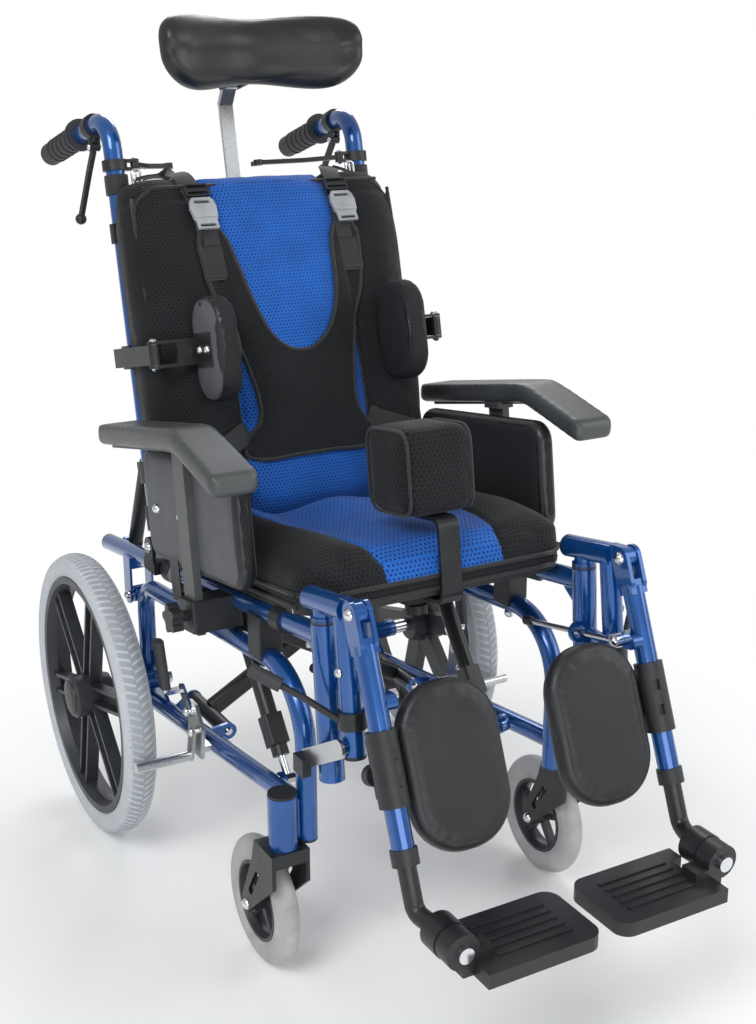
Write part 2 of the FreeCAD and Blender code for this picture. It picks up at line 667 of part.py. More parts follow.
def caster_wheel():
    rim_outer = CASTER_RIM_RADIUS - 0.05
    half = CASTER_WIDTH / 2
    rim = turned([(3 - half, rim_outer), (half - 3, rim_outer), (half - 3, rim_outer - 4), (3, rim_outer - 7),
                  (-3, rim_outer - 7), (3 - half, rim_outer - 4)], CASTER_CENTRE)
    hub = turned([(-half - 3, 0), (-half - 3, 12), (half + 3, 12), (half + 3, 0)], CASTER_CENTRE)
    spokes = []
    for index in range(CASTER_SPOKES):
        spoke = box_between(vec(-5, -4.5, 8), vec(5, 4.5, rim_outer - 5))
        spoke.rotate(ORIGIN, X_AXIS, index * 360.0 / CASTER_SPOKES)
        spoke.translate(CASTER_CENTRE)
        spokes.append(spoke)
    body = fused([rim, hub] + spokes)
    body = body.cut(cylinder(CASTER_CENTRE - X_AXIS * 40, CASTER_CENTRE + X_AXIS * 40, PIVOT_BOLT + RUNNING))
    rubber = tyre(CASTER_CENTRE, CASTER_RADIUS, CASTER_RIM_RADIUS, CASTER_WIDTH, 0.8)
    return Part.makeCompound([body, rubber])


# Tilt struts: the rod stands on the base, the cylinder hangs from the seat
TILT_ROD_TOP = 205.0
TILT_BODY_LOW = 34.0


def tilt_rod():
    way = (STRUT_HIGH - STRUT_LOW).normalize()
    eye = cross_pin(STRUT_LOW.y, STRUT_LOW.z, STRUT_X - 8, STRUT_X + 8, STRUT_EYE)
    rod = cylinder(STRUT_LOW, STRUT_LOW + way * TILT_ROD_TOP, STRUT_ROD)
    piston = cylinder(STRUT_LOW + way * (TILT_ROD_TOP - 10), STRUT_LOW + way * TILT_ROD_TOP, STRUT_RADIUS - 2.7)
    shape = fused([eye, rod, piston])
    return shape.cut(cross_pin(STRUT_LOW.y, STRUT_LOW.z, STRUT_X - 20, STRUT_X + 20, BOLT + RUNNING))


def tilt_cylinder():
    way = (STRUT_HIGH - STRUT_LOW).normalize()
    reach = (STRUT_HIGH - STRUT_LOW).Length
    body = cylinder(STRUT_LOW + way * TILT_BODY_LOW, STRUT_LOW + way * (reach - 8), STRUT_RADIUS)
    block_centre = STRUT_LOW + way * (TILT_BODY_LOW + 34)
    across = way.cross(X_AXIS)
    block = bar(block_centre - way * 20, block_centre + way * 20, vec(25, 0, 0), across * 27, 3)
    body = fused([body, block])
    body = body.cut(cylinder(STRUT_LOW, STRUT_LOW + way * (reach - 20), STRUT_ROD + RUNNING))
    body = body.cut(cylinder(STRUT_LOW + way * (TILT_BODY_LOW + 9), STRUT_LOW + way * (reach - 20), STRUT_RADIUS - 2.5))
    eye = cross_pin(STRUT_HIGH.y, STRUT_HIGH.z, STRUT_X - 9, STRUT_X + 9, STRUT_EYE)
    pin = cross_pin(STRUT_HIGH.y, STRUT_HIGH.z, STRUT_X - 12, PIN_PLATE_X, 4)
    return fused([body, eye, pin])


PIN_PLATE_X = 168.0
PIN_PLATE = 5.0
PIN_ROOM = 5.2
CHEEK_IN = 14.5
CHEEK_OUT = 18.0
SOCKET_RADIUS = 15.0
PIN_RADIUS = 12.0
ELBOW_IN = 166.0
ELBOW_OUT = 204.0
ELBOW_PLATE = 5.0


def seat_frame():
    front_y = SOCKET_Y + 7
    front = vec(FRAME_X, front_y, seat_z(front_y))
    rear = vec(FRAME_X, SEAT_TUBE_REAR, seat_z(SEAT_TUBE_REAR))
    low = socket_point(FRAME_X, SOCKET_BOTTOM)
    high = socket_point(FRAME_X, SOCKET_TOP)
    gusset_outline = [(-532, seat_z(-532) - 4), (-494, seat_z(-494) - 6), (-540, 420)]
    parts = [
        cylinder(low, high, SOCKET_RADIUS),
        plate(gusset_outline, FRAME_X - 2, FRAME_X + 2),
    ]
    # Bracket that hangs the seat on the tilt pivots
    over_pivot = seat_z(TILT_Y)
    parts.append(
        box_between(
            vec(FRAME_X - CHEEK_OUT, TILT_Y - 13, over_pivot - 17), vec(FRAME_X + CHEEK_OUT, TILT_Y + 13, over_pivot)
        )
    )
    for start in (FRAME_X - CHEEK_OUT, FRAME_X + CHEEK_IN):
        foot = vec(start, TILT_Y, TILT_Z)
        head = vec(start, TILT_Y, over_pivot - 13)
        parts.append(link(foot, head, 13, vec(CHEEK_OUT - CHEEK_IN, 0, 0)))
    # Plate for the tilt strut, with room for the strut's swing
    plate_foot = vec(PIN_PLATE_X - PIN_PLATE, STRUT_HIGH.y, STRUT_HIGH.z)
    plate_head = vec(PIN_PLATE_X - PIN_PLATE, STRUT_HIGH.y, seat_z(STRUT_HIGH.y) - 4)
    parts.append(link(plate_foot, plate_head, 15, vec(PIN_PLATE, 0, 0)))
    # Elbow with two cheeks for the recline pivot
    elbow_low = vec(ELBOW_IN, RECLINE_Y - 20, seat_z(RECLINE_Y) - 3)
    elbow_high = vec(ELBOW_OUT, RECLINE_Y + 20, seat_z(RECLINE_Y) + RECLINE_RISE - 18)
    parts.append(box_between(elbow_low, elbow_high))
    for start in (ELBOW_IN, ELBOW_OUT - ELBOW_PLATE):
        foot = vec(start, RECLINE_Y, RECLINE_Z - 20)
        head = vec(start, RECLINE_Y, RECLINE_Z)
        parts.append(link(foot, head, 15, vec(ELBOW_PLATE, 0, 0)))
    # Lug for the recline strut
    lug_foot = vec(PIN_PLATE_X - PIN_PLATE, RECLINE_LOW.y, RECLINE_LOW.z)
    parts.append(cylinder(lug_foot, lug_foot + X_AXIS * PIN_PLATE, 11))
    frame = hollow_frame([([front, rear], [], TUBE_RADIUS)], TUBE_WALL, parts)
    bores = [
        cylinder(low, high, PIN_RADIUS + RUNNING),
        cross_pin(TILT_Y, TILT_Z, FRAME_X - 20, FRAME_X + 20, PIVOT_BOLT + RUNNING),
        cross_pin(STRUT_HIGH.y, STRUT_HIGH.z, STRUT_X, PIN_PLATE_X + 0.5, 4 + PIN_ROOM),
        cross_pin(RECLINE_Y, RECLINE_Z, ELBOW_IN - 1, ELBOW_OUT + 1, PIVOT_BOLT + RUNNING),
        cross_pin(RECLINE_LOW.y, RECLINE_LOW.z, STRUT_X, PIN_PLATE_X + 1, BOLT + RUNNING),
    ]
    for bore in bores:
        frame = frame.cut(bore)
    cap_start = rear + vec(0, 0.05, 0)
    plug = cylinder(cap_start - SEAT_FORWARD * 0.1, cap_start - SEAT_FORWARD * 3, TUBE_RADIUS)
    recline_bolt = bolt_along(
        vec(ELBOW_IN - 0.1, RECLINE_Y, RECLINE_Z), vec(ELBOW_OUT + 0.1, RECLINE_Y, RECLINE_Z), PIVOT_BOLT, 8
    )
    strut_bolt = dome_bolt(RECLINE_LOW - X_AXIS * 9, X_AXIS, BOLT, 6.5, 25.5)
    return Part.makeCompound([frame, plug, recline_bolt, strut_bolt])


def seat_sleeve(start_y, end_y, radius):
    start = vec(FRAME_X, start_y, seat_z(start_y))
    end = vec(FRAME_X, end_y, seat_z(end_y))
    return cylinder(start, end, radius).cut(cylinder(start, end, TUBE_RADIUS + 0.05))


def seat_tube_boots():
    sleeves = [
        seat_sleeve(-451, -426, 16),
        seat_sleeve(-136, -111, 16),
        seat_sleeve(-110.9, -84, 17.5),
    ]
    return Part.makeCompound(sleeves + [mirrored(sleeve) for sleeve in sleeves])


# Seat board and cushion share the plan of the front corners
FRONT_CORNER = 54.0
BOARD_LOW = 13.0


def seat_plan(half, front, rear, corner, rear_corner):
    """The seat's outline as a wire at zero height."""
    turn = math.sqrt(0.5)

    def at(x, y):
        return vec(x, y, 0)

    right = at(-half + corner * (1 - turn), front + corner * (1 - turn))
    left = at(half - corner * (1 - turn), front + corner * (1 - turn))
    right_rear = at(-half + rear_corner * (1 - turn), rear - rear_corner * (1 - turn))
    left_rear = at(half - rear_corner * (1 - turn), rear - rear_corner * (1 - turn))
    edges = [
        Part.LineSegment(at(corner - half, front), at(half - corner, front)).toShape(),
        Part.Arc(at(half - corner, front), left, at(half, front + corner)).toShape(),
        Part.LineSegment(at(half, front + corner), at(half, rear - rear_corner)).toShape(),
        Part.Arc(at(half, rear - rear_corner), left_rear, at(half - rear_corner, rear)).toShape(),
        Part.LineSegment(at(half - rear_corner, rear), at(rear_corner - half, rear)).toShape(),
        Part.Arc(at(rear_corner - half, rear), right_rear, at(-half, rear - rear_corner)).toShape(),
        Part.LineSegment(at(-half, rear - rear_corner), at(-half, front + corner)).toShape(),
        Part.Arc(at(-half, front + corner), right, at(corner - half, front)).toShape(),
    ]
    return Part.Wire(edges)


def on_seat(shape):
    """Moves a shape drawn flat, with its own Y, onto the sloping seat tubes."""
    moved = shape.copy()
    moved.translate(vec(0, -SEAT_TUBE_Y, 0))
    moved.rotate(ORIGIN, X_AXIS, -SEAT_PITCH)
    moved.translate(vec(0, SEAT_TUBE_Y, SEAT_TUBE_Z))
    return moved


def seat_board():
    plan = seat_plan(CUSHION_HALF, CUSHION_FRONT + 2, CUSHION_REAR, FRONT_CORNER, 20)
    board = Part.Face(plan).extrude(vec(0, 0, BOARD_THICKNESS))
    board.translate(vec(0, 0, BOARD_LOW))
    for x in (-FRAME_X, FRAME_X):
        board = board.cut(cylinder(vec(x, -453, 0), vec(x, -424, 0), 16.4))
    bolts = []
    for y in (-470.0, -230.0):
        hole_start = vec(FRAME_X, y, TUBE_RADIUS + 0.3)
        board = board.cut(cylinder(hole_start - Z_AXIS, hole_start + Z_AXIS * 20, 3.3))
        board = board.cut(cylinder(hole_start - Z_AXIS - X_AXIS * 2 * FRAME_X, hole_start + Z_AXIS * 20
                                   - X_AXIS * 2 * FRAME_X, 3.3))
        for side in (-1, 1):
            screw = cylinder(vec(side * FRAME_X, y, TUBE_RADIUS + 0.4), vec(side * FRAME_X, y, 18.8), 3.2)
            bolts.append(screw)
    return on_seat(Part.makeCompound([board] + bolts))


def cushion_section(y, half, low, edge, centre, dish, crest):
    """A slice across the cushion: flat below, drawn-in sides, raised edges and a dished middle."""
    def at(x, z):
        return vec(x, y, z)

    top = Part.BSplineCurve()
    top.interpolate(
        [
            at(half, edge),
            at(half * 0.94, edge + (crest - edge) * 0.7),
            at(half * 0.8, crest),
            at(half * 0.52, centre - dish),
            at(0, centre),
            at(-half * 0.52, centre - dish),
            at(-half * 0.8, crest),
            at(-half * 0.94, edge + (crest - edge) * 0.7),
            at(-half, edge),
        ]
    )
    edges = [
        Part.LineSegment(at(-half + 5, low), at(half - 5, low)).toShape(),
        Part.LineSegment(at(half - 5, low), at(half, edge)).toShape(),
        top.toShape(),
        Part.LineSegment(at(-half, edge), at(-half + 5, low)).toShape(),
    ]
    return Part.Wire(edges)


def seat_cushion():
    low = BOARD_LOW + BOARD_THICKNESS + 0.1
    sections = [
        cushion_section(CUSHION_FRONT, CUSHION_HALF, low, 40, 53, 0, 52),
        cushion_section(CUSHION_FRONT + 14, CUSHION_HALF, low, 50, 68, 1, 68),
        cushion_section(CUSHION_FRONT + 50, CUSHION_HALF, low, 56, 80, 3, 82),
        cushion_section(-400, CUSHION_HALF, low, 58, 84, 5, 90),
        cushion_section(-300, CUSHION_HALF, low, 58, 84, 7, 94),
        cushion_section(-215, CUSHION_HALF, low, 56, 86, 5, 92),
        cushion_section(CUSHION_REAR - 10, CUSHION_HALF - 2, low, 50, 80, 3, 82),
        cushion_section(CUSHION_REAR, CUSHION_HALF - 6, low, 42, 66, 1, 66),
    ]
    body = Part.makeLoft(sections, True, False)
    plan = seat_plan(CUSHION_HALF + 1, CUSHION_FRONT - 1, CUSHION_REAR + 1, FRONT_CORNER, 24)
    body = body.common(Part.Face(plan).extrude(vec(0, 0, 200)))
    return on_seat(body)


def back_section(height, half, crown, seam, crest, shoulder):
    """A slice across the back cushion, drawn upright: y is rearward, z the height along the canes."""
    def at(x, y):
        return vec(x, y, height)

    front = Part.BSplineCurve()
    front.interpolate(
        [
            at(half, shoulder * 0.55),
            at(half * 0.95, shoulder),
            at(half * 0.78, crest),
            at(half * 0.53, seam),
            at(half * 0.3, crown + (seam - crown) * 0.2),
            at(0, crown),
            at(-half * 0.3, crown + (seam - crown) * 0.2),
            at(-half * 0.53, seam),
            at(-half * 0.78, crest),
            at(-half * 0.95, shoulder),
            at(-half, shoulder * 0.55),
        ]
    )
    edges = [
        Part.LineSegment(at(-half, BACK_REAR), at(half, BACK_REAR)).toShape(),
        Part.LineSegment(at(half, BACK_REAR), at(half, shoulder * 0.55)).toShape(),
        front.toShape(),
        Part.LineSegment(at(-half, shoulder * 0.55), at(-half, BACK_REAR)).toShape(),
    ]
    return Part.Wire(edges)


def back_cushion():
    sections = [
        back_section(BACK_BOTTOM, BACK_HALF - 10, -112, -100, -100, -72),
        back_section(BACK_BOTTOM + 20, BACK_HALF - 4, -134, -122, -124, -92),
        back_section(63, BACK_HALF - 3.5, -141, -128, -132, -100),
        back_section(160, BACK_HALF - 3, -137, -122, -128, -98),
        back_section(257, BACK_HALF - 1, -127, -112, -118, -92),
        back_section(380, BACK_HALF, -107, -95, -98, -76),
        back_section(455, BACK_HALF - 2, -90, -79, -78, -60),
        back_section(BACK_TOP - 12, BACK_HALF - 8, -80, -66, -62, -46),
        back_section(BACK_TOP, BACK_HALF - 18, -58, -48, -42, -34),
    ]
    return Part.makeLoft(sections, True, False)


# Fitted vest: outline over the back's front, as (x, height)
VEST_GAP = 0.5
VEST_THICKNESS = 4.0
VEST_HALF_OUTLINE = [
    (0, 302), (16, 316), (34, 352), (52, 404), (66, 446), (84, 448), (96, 430), (90, 392), (86, 350), (92, 306),
    (108, 258), (118, 214), (118, 160), (112, 128), (96, 118), (60, 112), (0, 106),
]


def vest(cushion):
    right = [(-x, height) for x, height in reversed(VEST_HALF_OUTLINE[1:-1])]
    corners = [vec(x, -220, height) for x, height in VEST_HALF_OUTLINE + right]
    prism = Part.Face(Part.makePolygon(corners + corners[:1])).extrude(vec(0, 180, 0))
    outer = cushion.copy()
    outer.translate(vec(0, -VEST_GAP - VEST_THICKNESS, 0))
    inner = cushion.copy()
    inner.translate(vec(0, -VEST_GAP, 0))
    body = prism.common(outer).cut(inner)
    return body


def cane_points():
    corner = back_point(CANE_X, 0, CANE_TOP)
    drop = math.radians(HANDLE_DROP)
    end = corner + vec(HANDLE_SPLAY, HANDLE_LENGTH * math.cos(drop), -HANDLE_LENGTH * math.sin(drop))
    return [back_point(CANE_X, 0, -9), corner, end]


HANDLE_SPLAY = 10.0


def back_canes():
    """Both canes, their pivot bushes and strut lugs, and the lower spreader that ties them."""
    points = cane_points()
    lug_start = RECLINE_HIGH + X_AXIS * 9.2
    lug_root = back_point(lug_start.x, 6, RECLINE_GRIP)
    spread_height = 96.0
    spread_end = back_point(CANE_X - TUBE_RADIUS + 2, 20, spread_height)
    ear = bar(
        back_point(CANE_X - 12, 10, spread_height - 12),
        back_point(CANE_X - 12, 10, spread_height + 12),
        vec(5, 0, 0),
        BACK_REARWARD * 30,
    )
    welded = [
        cross_pin(RECLINE_Y, RECLINE_Z, CANE_X - 13.2, CANE_X + 13.2, 8.5),
        link(lug_start, lug_root, 13, vec(PIN_PLATE, 0, 0)),
        cylinder(lug_root, lug_root + X_AXIS * (CANE_X - 10 - lug_root.x), 9),
        ear,
        cylinder(vec(0, spread_end.y, spread_end.z), spread_end, 9),
    ]
    body = hollow_frame([(points, [CANE_BEND], TUBE_RADIUS)], TUBE_WALL, welded)
    body = body.fuse(cross_pin(RECLINE_Y, RECLINE_Z, CANE_X - 12, CANE_X + 12, 8.5)).removeSplitter()
    body = body.cut(cross_pin(RECLINE_Y, RECLINE_Z, CANE_X - 20, CANE_X + 20, PIVOT_BOLT + RUNNING))
    body = body.cut(cross_pin(RECLINE_HIGH.y, RECLINE_HIGH.z, lug_start.x - 2, lug_start.x + PIN_PLATE + 1, 8.0))
    return body.fuse(mirrored(body)).removeSplitter()


def handle_way():
    points = cane_points()
    return points[2], (points[2] - points[1]).normalize()


def push_grip():
    end, way = handle_way()
    start = end - way * (GRIP_LENGTH - 6)
    body = cylinder(start, end + way * 6, GRIP_RADIUS)
    flange = cylinder(start - way * 5, start, GRIP_RADIUS + 6)
    ridges = [
        cylinder(start + way * (18 + index * 18), start + way * (24 + index * 18), GRIP_RADIUS + 1.2)
        for index in range(5)
    ]
    grip = fused([body, flange] + ridges)
    return grip.cut(cylinder(start - way * 40, end + way * 0.1, TUBE_RADIUS + 0.05))


def headrest_crossbar():
    height = HEAD_BAR_HEIGHT
    tube = cylinder(back_point(-CANE_X + 8, 0, height), back_point(CANE_X - 8, 0, height), 9.5)
    cane = cylinder(back_point(CANE_X, 0, height - 40), back_point(CANE_X, 0, height + 40), TUBE_RADIUS + 0.05)
    ring = cylinder(back_point(CANE_X, 0, height - 13), back_point(CANE_X, 0, height + 13), TUBE_RADIUS + 4)
    post_run = HEAD_POST_THICKNESS / 2 + 0.1
    block = bar(
        back_point(0, HEAD_POST_REARWARD - 8, height - 20), back_point(0, HEAD_POST_REARWARD - 8, height + 20),
        vec(44, 0, 0), BACK_REARWARD * 34,
    )
    body = fused([tube, ring, mirrored(ring), block])
    body = body.cut(cane).cut(mirrored(cane))
    slot = bar(
        back_point(0, HEAD_POST_REARWARD, height - 30), back_point(0, HEAD_POST_REARWARD, height + 30),
        vec(HEAD_POST_WIDTH + 0.2, 0, 0), BACK_REARWARD * post_run * 2,
    )
    body = body.cut(slot)
    cushion_room = bar(
        back_point(0, BACK_REAR - 14, height - 30), back_point(0, BACK_REAR - 14, height + 30),
        vec(2 * CANE_X + 90, 0, 0), BACK_REARWARD * 40,
    )
    body = body.cut(cushion_room)
    knob_start = back_point(0, HEAD_POST_REARWARD + 9.1, height)
    knob = cylinder(knob_start, knob_start + BACK_REARWARD * 16, 13)
    return Part.makeCompound([body, knob])


HEAD_POST_REARWARD = 29.0
HEAD_PIVOT = (6.0, 628.0)


def headrest_post():
    foot = back_point(0, HEAD_POST_REARWARD, 372)
    knee = back_point(0, HEAD_POST_REARWARD, 604)
    body = bar(foot, knee, vec(HEAD_POST_WIDTH, 0, 0), BACK_REARWARD * HEAD_POST_THICKNESS)
    pivot = back_point(0, *HEAD_PIVOT)
    way = (pivot - knee).normalize()
    arm = bar(knee - way * 3, pivot, vec(HEAD_POST_WIDTH, 0, 0), way.cross(X_AXIS) * 8)
    barrel = cylinder(pivot - X_AXIS * 10, pivot + X_AXIS * 10, 8)
    body = fused([body, arm, barrel])
    body = body.cut(cylinder(pivot - X_AXIS * 30, pivot + X_AXIS * 30, BOLT + RUNNING))
    bolt = bolt_along(pivot - X_AXIS * 16.4, pivot + X_AXIS * 16.4, BOLT, 6.5)
    return Part.makeCompound([body, bolt])


def head_section(x, centre, low, high, depth):
    """A slice of the head pad: a rounded lens, drawn upright in the back's frame."""
    middle = (low + high) / 2
    curve = Part.BSplineCurve()
    curve.interpolate(
        [
            vec(x, centre - depth / 2, middle),
            vec(x, centre - depth * 0.36, high - (high - middle) * 0.25),
            vec(x, centre, high),
            vec(x, centre + depth * 0.42, high - (high - middle) * 0.25),
            vec(x, centre + depth / 2, middle),
            vec(x, centre + depth * 0.42, low + (middle - low) * 0.25),
            vec(x, centre, low),
            vec(x, centre - depth * 0.36, low + (middle - low) * 0.25),
        ],
        PeriodicFlag=True,
    )
    return Part.Wire([curve.toShape()])


def headrest_pad():
    """A bean: two lobes that come forward and hang lower than the middle."""
    half = HEAD_WIDTH / 2
    slices = [
        (half, -118, 640, 668, 12),
        (half * 0.95, -116, 622, 684, 34),
        (half * 0.8, -106, 605, 694, 48),
        (half * 0.55, -88, 602, 699, 52),
        (half * 0.28, -72, 609, 700, 50),
        (0, -66, 613, 699, 48),
    ]
    mirrored_slices = [(-x, centre, low, high, depth) for x, centre, low, high, depth in reversed(slices[:-1])]
    body = Part.makeLoft([head_section(*one) for one in slices + mirrored_slices], True, False)
    plate_back = box_between(vec(-34, -48, 630), vec(34, -36, 680))
    ears = [box_between(vec(start, -46, 620), vec(start + 4, HEAD_PIVOT[0] + 6, 636)) for start in (-14.4, 10.4)]
    hinge = fused([plate_back] + ears)
    hinge = hinge.cut(cylinder(vec(-40, *HEAD_PIVOT), vec(40, *HEAD_PIVOT), BOLT + RUNNING))
    hinge = hinge.cut(body)
    return placed_back(Part.makeCompound([body, hinge]))


# Side supports on the back: a bracket round each bolster carries a pad that swings away
TRUNK_HEIGHT = 263.0
TRUNK_BAR_X = 211.0
TRUNK_HINGE = (TRUNK_BAR_X, -136.0)


def trunk_bracket():
    height = TRUNK_HEIGHT
    rear = back_point(TRUNK_BAR_X, 16, height)
    front = back_point(TRUNK_BAR_X, TRUNK_HINGE[1] + 5, height)
    body = bar(rear, front, X_AXIS * 4, BACK_UP * 26)
    barrel_low = back_point(*TRUNK_HINGE, height - 13)
    barrel = cylinder(barrel_low, barrel_low + BACK_UP * 26, 8)
    clamp = bar(back_point(CANE_X, 0, height - 16), back_point(CANE_X, 0, height + 16), X_AXIS * 32, BACK_REARWARD * 34)
    tie = bar(back_point(CANE_X + 12, 12, height), back_point(TRUNK_BAR_X + 2, 12, height), BACK_REARWARD * 8, BACK_UP * 26)
    body = fused([body, barrel, clamp, tie])
    body = body.cut(cylinder(back_point(CANE_X, 0, height - 40), back_point(CANE_X, 0, height + 40), TUBE_RADIUS + 0.05))
    trim = bar(back_point(CANE_X, -23, height - 20), back_point(CANE_X, -23, height + 20), X_AXIS * 50, BACK_REARWARD * 18)
    body = body.cut(trim)
    return body.cut(cylinder(barrel_low - BACK_UP * 20, barrel_low + BACK_UP * 60, BOLT + RUNNING))


def pad_block(low, high, corner, rounding, crown):
    """An upholstered block with round corners, soft edges and a crowned inner face."""
    body = box_between(low, high)
    corners = [edge for edge in body.Edges if abs(edge.tangentAt(edge.FirstParameter).x) > 0.99]
    body = body.makeFillet(corner, corners)
    body = body.makeFillet(rounding, body.Edges)
    size = high - low
    reach = size.z * size.z / (8 * crown)
    middle = (low + high) * 0.5
    hump = Part.makeSphere(reach, vec(low.x - crown * 0.4 + reach, middle.y, middle.z))
    trim = box_between(low - X_AXIS * crown, vec(middle.x, high.y, high.z))
    swell = hump.common(trim).common(cross_pin(middle.y, middle.z, low.x - crown, high.x, min(size.y, size.z) * 0.48))
    return body.fuse(swell).removeSplitter()


def trunk_pad():
    low = vec(TRUNK_X - TRUNK_THICKNESS / 2, -214, TRUNK_HEIGHT - 67)
    high = vec(TRUNK_X + TRUNK_THICKNESS / 2, -122, TRUNK_HEIGHT + 67)
    pad = pad_block(low, high, 38, 11, 6)
    hinge = vec(*TRUNK_HINGE, 0)
    ear_low = TRUNK_HEIGHT - 13 - CLEARANCE - 4
    ear_high = TRUNK_HEIGHT + 13 + CLEARANCE
    ears = []
    for start in (ear_low, ear_high):
        disc = cylinder(vec(hinge.x, hinge.y, start), vec(hinge.x, hinge.y, start + 4), 8)
        tongue = box_between(vec(TRUNK_X + 20, hinge.y - 8, start), vec(hinge.x, hinge.y - 2, start + 4))
        ears += [disc, tongue]
    arm = box_between(vec(high.x + 1.5, hinge.y - 8, ear_low), vec(high.x + 30, hinge.y - 3, ear_high + 4))
    face = box_between(vec(high.x + 0.1, -192, TRUNK_HEIGHT - 22), vec(high.x + 4, hinge.y - 3, TRUNK_HEIGHT + 22))
    bracket = fused(ears + [arm, face])
    bracket = bracket.cut(cylinder(hinge + Z_AXIS * (ear_low - 9), hinge + Z_AXIS * (ear_high + 9), BOLT + RUNNING))
    screws = [
        Part.makeSphere(6, vec(high.x + 2.5, -180 + index * 24.0, TRUNK_HEIGHT)).common(
            box_between(vec(high.x + 4.05, -200, TRUNK_HEIGHT - 10), vec(high.x + 12, -120, TRUNK_HEIGHT + 10))
        )
        for index in range(2)
    ]
    pin = bolt_along(hinge + Z_AXIS * (ear_low - 0.1), hinge + Z_AXIS * (ear_high + 4.1), BOLT, 6)
    return placed_back(Part.makeCompound([pad, bracket, pin] + screws))


# Armrest post slides square to the seat in its clamp
ARM_UP_LOW = -36.0
ARM_UP_HIGH = 206.0


def armrest():
    foot = seat_point(ARM_X, ARM_POST_Y, ARM_UP_LOW)
    head = seat_point(ARM_X, ARM_POST_Y, ARM_UP_HIGH)
    post = bar(foot, head, X_AXIS * ARM_POST_WIDTH, SEAT_FORWARD * ARM_POST_DEPTH)
    hole_place = seat_point(ARM_X - 20, ARM_POST_Y, -22)
    post = post.cut(link(hole_place, hole_place - SEAT_UP * 6, 4, vec(40, 0, 0)))
    rear = vec(ARM_PAD_X, -85, 606)
    knee = vec(ARM_PAD_X, -342, 657)
    tip = vec(ARM_PAD_X - 4, -465, 629)
    under = strip([rear + vec(0, -24, -11), knee + vec(0, 6, -15), knee + vec(0, -30, -23)], [40], vec(34, 0, 0), 4)
    shelf = bar(head - SEAT_UP * 14, head + SEAT_UP * 4, X_AXIS * 24, SEAT_FORWARD * ARM_POST_DEPTH)
    metal = fused([post, under, shelf])
    profile = pad_profile(rear, knee, tip)
    pad = profile.cut(under)
    metal = metal.cut(profile)
    return Part.makeCompound([metal, pad])


def pad_profile(rear, knee, tip):
    """The arm pad: a side outline with a crank near the front, drawn in X and rounded all round."""
    half = ARM_PAD_THICKNESS / 2
    path = bent_path([vec(0, rear.y, rear.z), vec(0, knee.y, knee.z), vec(0, tip.y, tip.z)], [60])
    up = vec(0, 0, half)
    upper = path.copy()
    upper.translate(up)
    lower = path.copy()
    lower.translate(-up)
    first = Part.LineSegment(vec(0, rear.y, rear.z) - up, vec(0, rear.y, rear.z) + up).toShape()
    last = Part.LineSegment(vec(0, tip.y, tip.z) + up, vec(0, tip.y, tip.z) - up).toShape()
    wire = Part.Wire([first] + upper.Edges + [last] + list(reversed(lower.Edges)))
    body = Part.Face(wire).extrude(vec(ARM_PAD_WIDTH, 0, 0))
    body.translate(vec(ARM_PAD_X - ARM_PAD_WIDTH / 2, 0, 0))
    return body.makeFillet(9, body.Edges)


def armrest_clamp():
    low = ARM_CLAMP_LOW
    high = ARM_CLAMP_HIGH
    block = bar(
        seat_point(ARM_X - 21, ARM_POST_Y, low), seat_point(ARM_X - 21, ARM_POST_Y, high),
        X_AXIS * 66, SEAT_FORWARD * 46, 3,
    )
    slot = bar(
        seat_point(ARM_X, ARM_POST_Y, low - 9), seat_point(ARM_X, ARM_POST_Y, high + 9),
        X_AXIS * (ARM_POST_WIDTH + 0.2), SEAT_FORWARD * (ARM_POST_DEPTH + 0.2),
    )
    tube = cylinder(vec(FRAME_X, -350, seat_z(-350)), vec(FRAME_X, -240, seat_z(-240)), TUBE_RADIUS + 0.05)
    block = block.cut(slot).cut(tube)
    knob_place = seat_point(ARM_X + 12.1, ARM_POST_Y, (low + high) / 2)
    neck = cylinder(knob_place, knob_place + X_AXIS * 12, 7)
    lobes = [
        cylinder(knob_place + vec(10, 14 * math.cos(turn), 14 * math.sin(turn)),
                 knob_place + vec(24, 14 * math.cos(turn), 14 * math.sin(turn)), 5.5)
        for turn in (index * math.pi / 2.5 for index in range(5))
    ]
    knob = fused([neck, cylinder(knob_place + X_AXIS * 10, knob_place + X_AXIS * 24, 14)] + lobes)
    return [block, knob]


ARM_CLAMP_LOW = -32.0
ARM_CLAMP_HIGH = 8.0


def armrest_clamps():
    solids = armrest_clamp()
    return Part.makeCompound(solids + [mirrored(solid) for solid in solids])


# Hip pads stand on flat bars bolted to the seat tubes
HIP_FRONT = -430.0
HIP_REAR = -132.0
HIP_LOW = 36.0
HIP_HIGH = 184.0
HIP_BAR_Y = -222.0


